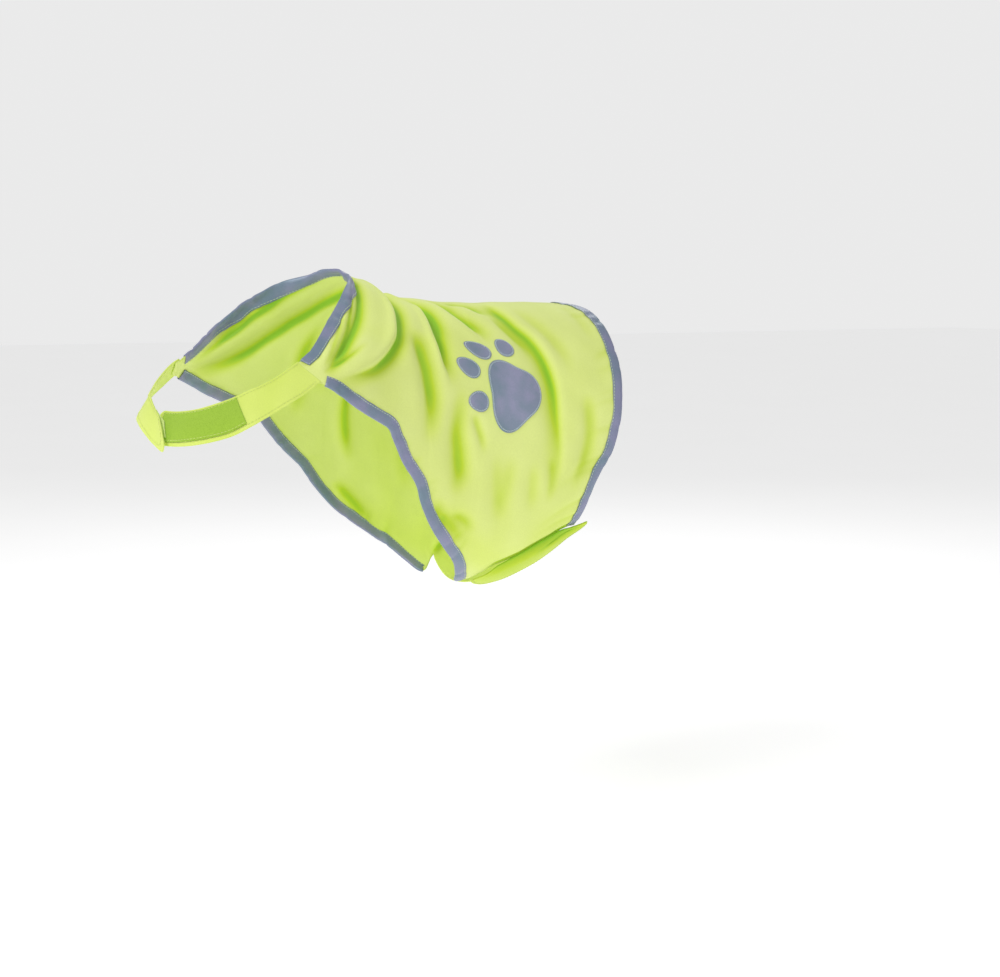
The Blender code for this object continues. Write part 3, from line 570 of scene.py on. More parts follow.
class Shading:
    """A material's node tree with short calls for the nodes it needs."""

    def __init__(self, name: str) -> None:
        """Start a material that holds one Principled shader.

        Args:
            name: the material's name.
        """
        self.material = bpy.data.materials.new(name)
        self.material.use_nodes = True
        self.nodes = self.material.node_tree.nodes
        self.shader = self.nodes["Principled BSDF"]

    def node(self, kind: str, inputs: dict | None = None, **settings: object) -> bpy.types.Node:
        """Add a node, set its properties and its inputs; an input may be a socket.

        Args:
            kind: the node's type.
            inputs: values or sockets by input name or number.
            settings: the node's own properties.

        Returns:
            The new node.
        """
        made = self.nodes.new(kind)
        for key, value in settings.items():
            setattr(made, key, value)
        for key, value in (inputs or {}).items():
            if isinstance(value, bpy.types.NodeSocket):
                self.material.node_tree.links.new(value, made.inputs[key])
            else:
                made.inputs[key].default_value = value
        return made

    def link(self, socket: bpy.types.NodeSocket, name: str) -> None:
        """Join a socket to one of the shader's inputs."""
        self.material.node_tree.links.new(socket, self.shader.inputs[name])

    def set(self, **values: object) -> None:
        """Set constant values on the shader's own inputs; _ stands for a space."""
        for key, value in values.items():
            self.shader.inputs[key.replace("_", " ")].default_value = value

    def noise(self, vector: bpy.types.NodeSocket, scale: float,
              detail: float = 2.0) -> bpy.types.NodeSocket:
        """The value of a noise texture."""
        made = self.node("ShaderNodeTexNoise",
                         {"Vector": vector, "Scale": scale, "Detail": detail})
        return made.outputs[0]

    def ramp(self, factor: bpy.types.NodeSocket,
             stops: tuple[tuple[float, tuple[float, float, float]], ...]
             ) -> bpy.types.NodeSocket:
        """Colours read along a factor.

        Args:
            factor: the socket that picks the colour.
            stops: places from 0 to 1 with their colours.

        Returns:
            The colour socket.
        """
        made = self.node("ShaderNodeValToRGB", {"Fac": factor})
        band = made.color_ramp.elements
        while len(band) < len(stops):
            band.new(0.5)
        for element, (place, colour) in zip(band, stops):
            element.position = place
            element.color = (*colour, 1.0)
        return made.outputs[0]

    def maths(self, operation: str, first: object, second: object = 0.0,
              third: object = 0.0) -> bpy.types.NodeSocket:
        """The result of a Math node."""
        return self.node("ShaderNodeMath", {0: first, 1: second, 2: third},
                         operation=operation).outputs[0]

    def weave(self, pitch_across: float, pitch_along: float) -> bpy.types.NodeSocket:
        """The height of two crossing sets of threads.

        Args:
            pitch_across: the distance between threads of one set, in metres.
            pitch_along: the distance between threads of the other.

        Returns:
            The height socket, from 0 to 1.
        """
        place = self.node("ShaderNodeUVMap", uv_map="cut").outputs[0]
        split = self.node("ShaderNodeSeparateXYZ", {0: place})
        waves = []
        for output, pitch in ((0, pitch_across), (1, pitch_along)):
            turns = self.maths("MULTIPLY", split.outputs[output], 2 * math.pi / pitch)
            waves.append(self.maths("SINE", turns))
        both = self.maths("MULTIPLY", waves[0], waves[1])
        return self.maths("MULTIPLY_ADD", both, 0.5, 0.5)

    def bump(self, height: bpy.types.NodeSocket, distance: float, strength: float,
             below: bpy.types.NodeSocket | None = None) -> bpy.types.NodeSocket:
        """The normal of a bump of a height in metres, laid on another one."""
        inputs = {"Height": height, "Distance": distance, "Strength": strength}
        if below is not None:
            inputs["Normal"] = below
        return self.node("ShaderNodeBump", inputs).outputs[0]

    def object_place(self) -> bpy.types.NodeSocket:
        """The place on the piece, in metres."""
        return self.node("ShaderNodeTexCoord").outputs["Object"]


@dataclass(frozen=True)
class FluorescentCloth:
    """A thin fluorescent woven polyester: pale where smooth, greener in creases by painted shade.
    """

    name: str = "fluorescent_cloth"
    pale: tuple[float, float, float] = (0.76, 0.82, 0.32)
    middle: tuple[float, float, float] = (0.68, 0.77, 0.19)
    # Painted shade: the colours of creases in shade, and of the deepest ones.
    deep: tuple[float, float, float] = (0.50, 0.65, 0.030)
    darkest: tuple[float, float, float] = (0.24, 0.52, 0.018)
    thread_pitch: float = 0.0011
    weave_height: float = 0.00010

    def material(self) -> bpy.types.Material:
        """Build the cloth's material."""
        shade = Shading(self.name)
        place = shade.object_place()
        # The mesh attribute read here is painted shade from creases, wave troughs and straps; the
        # noise patches add random tone.
        hollow = shade.node("ShaderNodeAttribute", attribute_name="hollow").outputs["Fac"]
        patches = shade.noise(place, 11.0, 3.0)
        drift = shade.maths("MULTIPLY_ADD", patches, 0.26, -0.04)
        depth = shade.maths("MULTIPLY_ADD", hollow, 0.78, drift)
        colour = shade.ramp(depth, ((0.0, self.pale), (0.24, self.middle),
                                    (0.62, self.deep), (0.98, self.darkest)))
        weave = shade.weave(self.thread_pitch, self.thread_pitch)
        fibre = shade.noise(place, 900.0, 2.0)
        # Fibre noise adds random tone; the weave term is painted shade, darker between the
        # threads.
        light = shade.maths("MULTIPLY_ADD", fibre, 0.16, 0.92)
        light = shade.maths("MULTIPLY", light, shade.maths("MULTIPLY_ADD", weave, 0.10, 0.95))
        tone = shade.node("ShaderNodeVectorMath", {0: colour}, operation="SCALE")
        shade.material.node_tree.links.new(light, tone.inputs["Scale"])
        shade.link(tone.outputs[0], "Base Color")
        crumple = shade.bump(shade.noise(place, 46.0, 3.0), 0.0011, 0.35)
        threads = shade.bump(weave, self.weave_height, 0.8, crumple)
        shade.link(threads, "Normal")
        # The emission is a painted glow: the cloth gives off faint light of its own, standing in
        # for fluorescent brightness.
        shade.set(Roughness=0.72, Sheen_Weight=0.30, Sheen_Roughness=0.42,
                  Sheen_Tint=(0.93, 1.0, 0.62, 1.0), Specular_IOR_Level=0.28,
                  Emission_Color=(0.52, 0.80, 0.06, 1.0), Emission_Strength=0.10)
        return shade.material


@dataclass(frozen=True)
class ReflectiveTape:
    """A grey retroreflective tape: fine glass beads over a cool grey, faintly two-toned."""

    name: str = "reflective_tape"
    cool: tuple[float, float, float] = (0.175, 0.255, 0.335)
    warm: tuple[float, float, float] = (0.265, 0.275, 0.430)
    bead_scale: float = 2600.0

    def material(self) -> bpy.types.Material:
        """Build the tape's material."""
        shade = Shading(self.name)
        place = shade.object_place()
        drift = shade.noise(place, 34.0, 3.0)
        colour = shade.ramp(drift, ((0.36, self.cool), (0.64, self.warm)))
        beads = shade.node("ShaderNodeTexVoronoi", {"Vector": place, "Scale": self.bead_scale})
        bead = beads.outputs["Distance"]
        # Painted highlight and shade on the glass beads: brightest at each bead's centre, darker
        # towards its rim.
        light = shade.maths("MULTIPLY_ADD", bead, -0.35, 1.12)
        tone = shade.node("ShaderNodeVectorMath", {0: colour}, operation="SCALE")
        shade.material.node_tree.links.new(light, tone.inputs["Scale"])
        shade.link(tone.outputs[0], "Base Color")
        dent = shade.bump(shade.noise(place, 95.0, 3.0), 0.0006, 0.30)
        shade.link(shade.bump(bead, 0.00006, 0.45, dent), "Normal")
        shade.link(shade.maths("MULTIPLY_ADD", drift, 0.22, 0.34), "Roughness")
        shade.set(Metallic=0.12, Specular_IOR_Level=0.6, Coat_Weight=0.12,
                  Coat_Roughness=0.35, Sheen_Weight=0.10, Sheen_Roughness=0.35)
        return shade.material


@dataclass(frozen=True)
class PileTape:
    """One half of a hook-and-loop closure: a nap of loops, or rows of small hooks."""

    name: str
    low: tuple[float, float, float]
    high: tuple[float, float, float]
    nap_scale: float
    nap_height: float
    roughness: float

    def material(self) -> bpy.types.Material:
        """Build the tape's material."""
        shade = Shading(self.name)
        place = shade.object_place()
        nap = shade.node("ShaderNodeTexVoronoi",
                         {"Vector": place, "Scale": self.nap_scale}).outputs["Distance"]
        curl = shade.noise(place, self.nap_scale * 0.7, 4.0)
        height = shade.maths("MULTIPLY_ADD", nap, 0.6, curl)
        # Colour follows the nap's height: painted shade down in the nap, lighter at the tips.
        shade.link(shade.ramp(height, ((0.35, self.low), (0.85, self.high))), "Base Color")
        shade.link(shade.bump(height, self.nap_height, 0.8), "Normal")
        # The emission is a painted glow: the tape gives off faint light of its own.
        shade.set(Roughness=self.roughness, Sheen_Weight=0.45, Sheen_Roughness=0.5,
                  Sheen_Tint=(0.85, 1.0, 0.5, 1.0), Specular_IOR_Level=0.2,
                  Emission_Color=(0.42, 0.78, 0.05, 1.0), Emission_Strength=0.05)
        return shade.material


@dataclass(frozen=True)
class Thread:
    """Twisted sewing thread."""

    name: str
    colour: tuple[float, float, float]
    shadow: tuple[float, float, float]

    def material(self) -> bpy.types.Material:
        """Build the thread's material."""
        shade = Shading(self.name)
        place = shade.object_place()
        ply = shade.node("ShaderNodeTexWave", {"Vector": place, "Scale": 900.0,
                                               "Distortion": 3.0},
                         bands_direction="DIAGONAL").outputs["Fac"]
        shade.link(shade.ramp(ply, ((0.1, self.shadow), (0.6, self.colour))), "Base Color")
        shade.link(shade.bump(ply, 0.00008, 0.5), "Normal")
        shade.set(Roughness=0.5, Sheen_Weight=0.3, Sheen_Roughness=0.4)
        return shade.material


@dataclass(frozen=True)
class StudioFloor:
    """A plain pale floor."""

    name: str = "studio_floor"
    colour: tuple[float, float, float] = (0.93, 0.93, 0.93)
    glow: float = 0.40

    def material(self) -> bpy.types.Material:
        """Build the floor's material."""
        shade = Shading(self.name)
        grain = shade.noise(shade.object_place(), 3.0, 2.0)
        low = tuple(0.985 * part for part in self.colour)
        shade.link(shade.ramp(grain, ((0.3, low), (0.7, self.colour))), "Base Color")
        shade.set(Roughness=0.9, Specular_IOR_Level=0.1,
                  Emission_Color=(1.0, 1.0, 1.0, 1.0), Emission_Strength=self.glow)
        return shade.material


class Wardrobe:
    """The finishes of the vest, each made once."""

    def __init__(self) -> None:
        """Build every material."""
        self.cloth = FluorescentCloth().material()
        self.reflective = ReflectiveTape().material()
        self.patch = ReflectiveTape("reflective_patch", (0.205, 0.285, 0.365),
                                    (0.325, 0.335, 0.490)).material()
        self.loop = PileTape("loop_pile", (0.19, 0.36, 0.012), (0.34, 0.53, 0.05),
                             1500.0, 0.00035, 0.95).material()
        self.hook = PileTape("hook_rows", (0.40, 0.52, 0.10), (0.66, 0.76, 0.30),
                             1100.0, 0.00030, 0.60).material()
        self.yellow_thread = Thread("yellow_thread", (0.80, 0.86, 0.30),
                                    (0.48, 0.62, 0.09)).material()
        self.lime_thread = Thread("lime_thread", (0.76, 0.90, 0.56),
                                  (0.42, 0.58, 0.40)).material()
        self.pale_thread = Thread("pale_thread", (0.86, 0.93, 0.92),
                                  (0.14, 0.34, 0.37)).material()


# --- meshes -----------------------------------------------------------------------------


@dataclass
class Patch:
    """A mesh in the making: its points, faces, and its place on the flat cut."""

    points: Array
    faces: list[tuple[int, ...]]
    cut: Array
    hollow: Array | None = None

    def dress(self, name: str, material: bpy.types.Material, slot: Slot,
              replaces: tuple[str, ...] = ()) -> bpy.types.Object:
        """Make the object, let it ride on the vest and hide the solids that it stands for.

        Args:
            name: the piece's name.
            material: its finish.
            slot: not used.
            replaces: the solids that it stands for.

        Returns:
            The new object.
        """
        mesh = bpy.data.meshes.new(name)
        mesh.from_pydata(self.points.tolist(), [], self.faces)
        layer = mesh.uv_layers.new(name="cut")
        corner = np.empty(len(mesh.loops), np.int32)
        mesh.loops.foreach_get("vertex_index", corner)
        layer.data.foreach_set("uv", self.cut[corner].astype(np.float32).ravel())
        # The painted shade of each point is stored as a mesh attribute that the cloth's material
        # reads.
        depth = np.zeros(len(self.points)) if self.hollow is None else self.hollow
        attribute = mesh.attributes.new("hollow", "FLOAT", "POINT")
        attribute.data.foreach_set("value", np.clip(depth, 0.0, 1.3).astype(np.float32))
        mesh.shade_smooth()
        mesh.materials.append(material)
        piece = bpy.data.objects.new(name, mesh)
        bpy.context.scene.collection.objects.link(piece)
        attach(piece, "root")
        if replaces:
            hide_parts(*replaces)
        LOG.info("%s: %d faces", name, len(mesh.polygons))
        return piece


def grid_faces(rows: int, columns: int, start: int = 0, flip: bool = False,
               wrap: bool = False) -> list[tuple[int, ...]]:
    """Quads of a grid of points.

    Args:
        rows: how many points one way.
        columns: how many the other way.
        start: the first point's number.
        flip: turn the faces over.
        wrap: join the last column to the first.

    Returns:
        The faces.
    """
    row, column = np.meshgrid(np.arange(rows - 1), np.arange(columns - (0 if wrap else 1)),
                              indexing="ij")
    after = (column + 1) % columns
    quads = np.stack([row * columns + column, (row + 1) * columns + column,
                      (row + 1) * columns + after, row * columns + after], axis=-1)
    quads = quads.reshape(-1, 4) + start
    return [tuple(quad) for quad in (quads[:, ::-1] if flip else quads).tolist()]


def add_wall(piece: bpy.types.Object, thickness: float, offset: float) -> None:
    """Give an open surface its cloth thickness."""
    solid = piece.modifiers.new("thickness", "SOLIDIFY")
    solid.thickness = thickness
    solid.offset = offset
    solid.use_even_offset = False


@dataclass(frozen=True)
class EdgeFinish:
    """How a laid piece ends at its edges: its thickness, its rounding and its sewn line."""

    thickness: float
    rim: float = 0.0009
    sewn_at: float = 0.0
    sewn_depth: float = 0.0
    sewn_width: float = 0.0011

    def half(self, distance: Array) -> Array:
        """Half the piece's thickness at a distance from its edge."""
        inside = np.clip(distance / self.rim, 0.0, 1.0)
        half = self.thickness / 2 * np.sqrt(np.clip(1 - (1 - inside)**2, 0.0, 1.0))
        if self.sewn_depth:
            half -= self.sewn_depth * np.exp(-((distance - self.sewn_at) / self.sewn_width)**2)
        return np.maximum(half, 0.0)


def closed_sheet(form: WornForm, station: Array, angle: Array, lift: Array, cut: Array,
                 distance: Array, finish: EdgeFinish, tint: float = 0.0,
                 wrap: bool = False) -> Patch:
    """A thin closed piece of cloth laid on the form.

    Args:
        form: the form it lies on.
        station: the grid's stations; with wrap the first row is one point, a centre.
        angle: the grid's angles.
        lift: how high its lower face lies.
        cut: the grid's places on the flat cut.
        distance: how far each place is from the piece's edge.
        finish: its thickness and its edges.
        tint: painted shade, added to how deep the cloth's colour gets.
        wrap: the grid's columns close on themselves, and only its last row is an edge.

    Returns:
        The closed mesh.
    """
    rows, columns = station.shape
    normal = form.outward(form.cloth, station, angle)
    middle = form.cloth(station, angle) + normal * (lift + finish.thickness / 2)[..., None]
    half = normal * finish.half(distance)[..., None]
    top, bottom = (middle + half).reshape(-1, 3), (middle - half).reshape(-1, 3)
    edge = np.zeros((rows, columns), bool)
    edge[-1] = True
    if not wrap:
        edge[0] = edge[:, 0] = edge[:, -1] = True
    inner = np.flatnonzero(~edge.ravel())
    below = np.arange(rows * columns)
    below[inner] = rows * columns + np.arange(len(inner))
    flip = bool((np.cross(top[columns] - top[0], top[1] - top[0]) @ normal[0, 0]) < 0)
    if wrap:
        probe = np.cross(top[2 * columns] - top[columns], top[columns + 1] - top[columns])
        flip = bool(probe @ normal[1, 0] < 0)
    upper = grid_faces(rows, columns, flip=flip, wrap=wrap)
    lower = [tuple(int(below[k]) for k in face[::-1]) for face in upper]
    places = np.concatenate([cut.reshape(-1, 2), cut.reshape(-1, 2)[inner]])
    # Painted shade: the form's crease shade plus the piece's own added shade.
    shade = form.hollow(station, angle).ravel() + tint
    points = np.concatenate([top, bottom[inner]])
    faces = upper + lower
    if wrap:
        points, faces, places, shade_all = _merge_centres(points, faces, places,
                                                          np.concatenate([shade, shade[inner]]),
                                                          columns, rows * columns)
        return Patch(points, faces, places, shade_all)
    return Patch(points, faces, places, np.concatenate([shade, shade[inner]]))


def _merge_centres(points: Array, faces: list, places: Array, shade: Array, columns: int,
                   lower_start: int) -> tuple[Array, list, Array, Array]:
    """Make the first row of both faces of a round patch one point each."""
    number = np.arange(len(points))
    number[:columns] = 0
    number[lower_start:lower_start + columns] = lower_start
    kept = np.unique(number)
    fresh = np.zeros(len(points), int)
    fresh[kept] = np.arange(len(kept))
    made = []
    for face in faces:
        corners = [int(fresh[number[k]]) for k in face]
        corners = [c for i, c in enumerate(corners) if c != corners[i - 1]]
        made.append(tuple(corners))
    return points[kept], made, places[kept], shade[kept]


@dataclass(frozen=True)
class StitchRow:
    """A row of stitches of one thread along a line on the cloth, as one mesh."""

    pitch: float = 0.0034
    length: float = 0.0026
    radius: float = 0.00026
    style: StitchStyle = StitchStyle.STRAIGHT
    width: float = 0.0

    def build(self, line: Array, normal: Array) -> Patch:
        """Lay the stitches.

        Args:
            line: points of the seam line on the cloth's face.
            normal: the cloth's outward directions there.

        Returns:
            All the stitches of the row.
        """
        run = run_of(line)
        count = max(2, int(run[-1] / self.pitch))
        at = (np.arange(count) + 0.5) * run[-1] / count
        place, out, ahead = (np.stack([np.interp(at, run, values[:, k]) for k in range(3)], -1)
                             for values in (line, normal, np.gradient(line, axis=0)))
        out, ahead = unit(out), unit(ahead)
        aside = unit(np.cross(out, ahead))
        if self.style is StitchStyle.ZIGZAG:
            turn = np.where(np.arange(count) % 2 == 0, 1.0, -1.0)[:, None]
            ahead = unit(ahead * self.pitch + aside * self.width * turn)
            aside = unit(np.cross(out, ahead))
            length = np.full(count, math.hypot(self.pitch, self.width) * 0.96)
        else:
            length = self.length * (1.0 + 0.10 * waver(at, self.pitch * 0.9, 5))
        return self._tubes(place, out, ahead, aside, length)

    def _tubes(self, place: Array, out: Array, ahead: Array, aside: Array,
               length: Array) -> Patch:
        """Small tubes that rise from the cloth and dive back into it."""
        reach = np.array([-1.0, -0.86, -0.45, 0.0, 0.45, 0.86, 1.0])
        thick = np.array([0.30, 0.78, 1.0, 1.04, 1.0, 0.78, 0.30])
        rise = np.array([-0.9, -0.1, 0.55, 0.75, 0.55, -0.1, -0.9])
        turn = np.linspace(0.0, 2 * math.pi, 6, endpoint=False)
        centre = (place[:, None, :] + ahead[:, None, :] * (reach * length[:, None] / 2)[..., None]
                  + out[:, None, :] * (rise * self.radius)[None, :, None])
        ring = (aside[:, None, None, :] * np.cos(turn)[None, None, :, None]
                + out[:, None, None, :] * np.sin(turn)[None, None, :, None])
        points = centre[:, :, None, :] + ring * (thick * self.radius)[None, :, None, None]
        count, rings, around = points.shape[:3]
        each = grid_faces(rings, around, wrap=True)
        each.append(tuple(range(around)))
        each.append(tuple(range(rings * around - 1, (rings - 1) * around - 1, -1)))
        faces = [tuple(k + i * rings * around for k in face)
                 for i in range(count) for face in each]
        cut = np.zeros((count * rings * around, 2))
        return Patch(points.reshape(-1, 3), faces, cut)


def joined(patches: list[Patch]) -> Patch:
    """Several patches as one mesh."""
    faces, start = [], 0
    for patch in patches:
        faces += [tuple(k + start for k in face) for face in patch.faces]
        start += len(patch.points)
    return Patch(np.concatenate([patch.points for patch in patches]), faces,
                 np.concatenate([patch.cut for patch in patches]))


# --- the vest's pieces ------------------------------------------------------------------


@dataclass
class BackPanel:
    """The yellow cloth over the back and both sides, from one belly seam to the other."""

    form: WornForm
    cut: PanelCut
    inner_lift: float = 0.0003
    thickness: float = 0.0009
    rows: int = 216
    columns: int = 220
    finer_reach: float = 0.12
    half_girth: float = 0.43
    length: float = 0.40
    pucker_height: float = 0.00034
    pucker_reach: float = 0.011
    flat_width: float = 0.86
    flat_length: float = 0.42
    flat_area: float = 0.21

    def surface(self) -> Patch:
        """The cloth's face at full fineness."""
        fine = np.linspace(0.0, 1.0, 500)
        spine = run_of(self.form.bare(*self.cut.spot(0.0, fine)))
        lower = run_of(self.form.bare(*self.cut.spot(1.0, fine)))
        run = spine + lower
        run = run + self.finer_reach * (1 - np.exp(-run / self.finer_reach))
        length = np.interp(np.linspace(0.0, run[-1], self.columns), run, fine)
        side, length = np.meshgrid(np.linspace(-1.0, 1.0, self.rows), length, indexing="ij")
        station, angle = self.cut.spot(side, length)
        bare = self.form.bare(station, angle)
        # The folds give the cloth's lift and the painted shade of its creases.
        height, hollow = self.form.folds(bare)
        height = height + self.inner_lift + self._pucker(side, length, bare)
        points = bare + self.form.outward(self.form.bare, station, angle) * height[..., None]
        flat = np.stack([angle / 180.0 * self.half_girth, station * self.length], axis=-1)
        return Patch(points.reshape(-1, 3), grid_faces(self.rows, self.columns),
                     flat.reshape(-1, 2), hollow.ravel())

    def _pucker(self, side: Array, length: Array, bare: Array) -> Array:
        """Small uneven waves where the binding's stitches gather the cloth."""
        total = np.zeros(side.shape)
        edges = ((length * self.length, 0, 11), ((1 - length) * self.length, 0, 12),
                 ((1 - np.abs(side)) * self.half_girth * 0.6, 1, 13))
        for away, axis, seed in edges:
            if axis == 0:
                along = np.linalg.norm(np.diff(bare[:, :1], axis=0), axis=-1)
                along = np.concatenate([[[0.0]], np.cumsum(along, axis=0)])
            else:
                along = np.linalg.norm(np.diff(bare[:1], axis=1), axis=-1)
                along = np.concatenate([[[0.0]], np.cumsum(along, axis=1)], axis=1)
            wave = waver(along, 0.0055, seed) + 0.6 * waver(along, 0.013, seed + 40)
            total += wave * np.exp(-(away / self.pucker_reach)**2)
        return total * self.pucker_height

    def build(self, wardrobe: Wardrobe) -> bpy.types.Object:
        """Make the panel."""
        piece = self.surface().dress("cloth_back_panel", wardrobe.cloth, Slot.CLOTH,
                                     ("back_panel",))
        add_wall(piece, self.thickness, 1.0)
        return piece


@dataclass
class EdgeBinding:
    """A grey tape folded over an edge of the panel, sewn through both flanges."""

    form: WornForm
    cut: PanelCut
    name: str
    side: tuple[float, float]
    length: tuple[float, float]
    seed: int
    width: float = 0.0100
    wall: float = 0.00055
    panel_face: float = 0.0012
    gap: float = 0.0004
    sewn_at: float = 0.0089
    step: float = 0.0022

    def edge(self) -> tuple[Array, Array]:
        """The bound edge's places, evenly spaced."""
        fine = np.linspace(0.0, 1.0, 900)
        side = self.side[0] + (self.side[1] - self.side[0]) * fine
        length = self.length[0] + (self.length[1] - self.length[0]) * fine
        run = run_of(self.form.bare(*self.cut.spot(side, length)))
        share = np.interp(np.linspace(0.0, run[-1], round(run[-1] / self.step) + 1), run, fine)
        return self.cut.spot(self.side[0] + (self.side[1] - self.side[0]) * share,
                             self.length[0] + (self.length[1] - self.length[0]) * share)

    def inward(self, reach: float) -> tuple[Array, Array]:
        """The places of a line beside the edge, on the cloth."""
        station, angle = self.edge()
        centre = self.form.bare(*self.cut.spot(0.0, 0.55))
        return self.form.beside(station, angle, reach, centre)

    def _chain(self) -> list[tuple[float, float]]:
        """The tape's section: how far in from the edge, and how high, outer face first."""
        high, low = self.panel_face + self.gap, -self.gap
        puff = 0.00030
        flange = [(self.width, high), (self.width * 0.97, high + 0.25 * puff),
                  (self.sewn_at, high - 0.00016), (self.width * 0.68, high + puff),
                  (self.width * 0.45, high + 1.25 * puff), (self.width * 0.22, high + puff)]
        middle, radius = (high + low) / 2, (high - low) / 2
        bend = [(-radius * math.sin(turn) * 0.9, middle + radius * 1.08 * math.cos(turn))
                for turn in np.radians([20, 55, 90, 125, 160])]
        inside = [(self.width * 0.3, low - 0.6 * puff), (self.width * 0.6, low - 0.6 * puff),
                  (self.sewn_at, low + 0.00010), (self.width, low)]
        return flange + bend + inside

    def section(self) -> Patch:
        """The folded tape as an open surface."""
        station, angle = self.edge()
        edge = self.form.cloth(station, angle)
        run = run_of(edge)
        out = self.form.outward(self.form.cloth, station, angle)
        inner_line = self.form.cloth(*self.inward(0.002))
        inward = inner_line - edge
        inward = unit(inward - (inward * out).sum(-1, keepdims=True) * out)
        rows, flat_v = [], 0.0
        cut_v = []
        chain = self._chain()
        for k, (reach, lift) in enumerate(chain):
            wave = 0.00016 * waver(run + 7.0 * k, 0.008, self.seed)
            if reach > 0:
                wander = 0.00045 * waver(run, 0.014, self.seed + 3) * (reach > 0.8 * self.width)
                place = self.form.place(*self.inward(reach), lift + wave)
                place = place + inward * wander[:, None]
            else:
                place = edge + inward * reach + out * (lift + wave)[:, None]
            rows.append(place)
            if k:
                flat_v += math.dist(chain[k - 1], chain[k])
            cut_v.append(np.full(len(run), flat_v))
        points = np.stack(rows, axis=0)
        cut = np.stack([np.broadcast_to(run, (len(rows), len(run))), np.stack(cut_v)], -1)
        probe = np.cross(points[1, 0] - points[0, 0], points[0, 1] - points[0, 0])
        flip = bool(probe @ out[0] < 0)
        return Patch(points.reshape(-1, 3), grid_faces(*points.shape[:2], flip=flip),
                     cut.reshape(-1, 2))

    def build(self, wardrobe: Wardrobe) -> list[bpy.types.Object]:
        """Make the tape and the thread that holds it."""
        tape = self.section().dress("tape_" + self.name, wardrobe.reflective, Slot.REFLECTIVE,
                                    ("binding_" + self.name,))
        add_wall(tape, self.wall, 1.0)
        spots = self.inward(self.sewn_at)
        out = self.form.outward(self.form.cloth, *spots)
        row = StitchRow()
        over = row.build(self.form.place(*spots, self.panel_face + self.gap + self.wall
                                         - 0.00005), out)
        under = row.build(self.form.place(*spots, -self.gap - self.wall + 0.00005), -out)
        thread = joined([over, under]).dress("stitches_" + self.name, wardrobe.lime_thread,
                                             Slot.REFLECTIVE)
        return [tape, thread]


@dataclass(frozen=True)
class Crosswise:
    """A line across a neck strap or tape, from its upper to its lower edge."""

    order: float
    upper_station: float
    upper_angle: float
    lower_station: float
    lower_angle: float
    lift: float


@dataclass(frozen=True)
class Lengthwise:
    """A line across a belly strap or tape, from its side seam to its free end."""

    station: float
    seam_angle: float
    end_angle: float
    seam_lift: float
    end_lift: float


@dataclass
class LaidPiece:
    """A strap or tape laid on the form along a table of lines."""

    form: WornForm
    name: str
    stands_for: str
    lines: tuple[Crosswise, ...] | tuple[Lengthwise, ...]
    finish: EdgeFinish
    slot: Slot
    # Painted shade added to the piece's colour.
    tint: float = 0.0
    read_by = "order"

    def at(self, place: Array, name: str) -> Array:
        """One value of the lines, read between them."""
        return smooth([getattr(line, self.read_by) for line in self.lines],
                      [getattr(line, name) for line in self.lines], place)

    def build(self, material: bpy.types.Material) -> bpy.types.Object:
        """Make the piece."""
        patch = closed_sheet(self.form, *self.grid(), self.finish, self.tint)
        return patch.dress(self.name, material, self.slot, (self.stands_for,))

    def on_top(self, grids: tuple[Array, Array, Array], row: Array,
               column: Array) -> tuple[Array, Array]:
        """A line on the piece's upper face.

        Args:
            grids: the piece's stations, angles and lifts.
            row: the line's fractional rows on those grids.
            column: its fractional columns.

        Returns:
            The line's points and its outward directions.
        """
        station, angle, lift = (bilinear(values, row, column) for values in grids)
        out = self.form.outward(self.form.cloth, station, angle)
        return self.form.place(station, angle, lift + self.finish.thickness), out


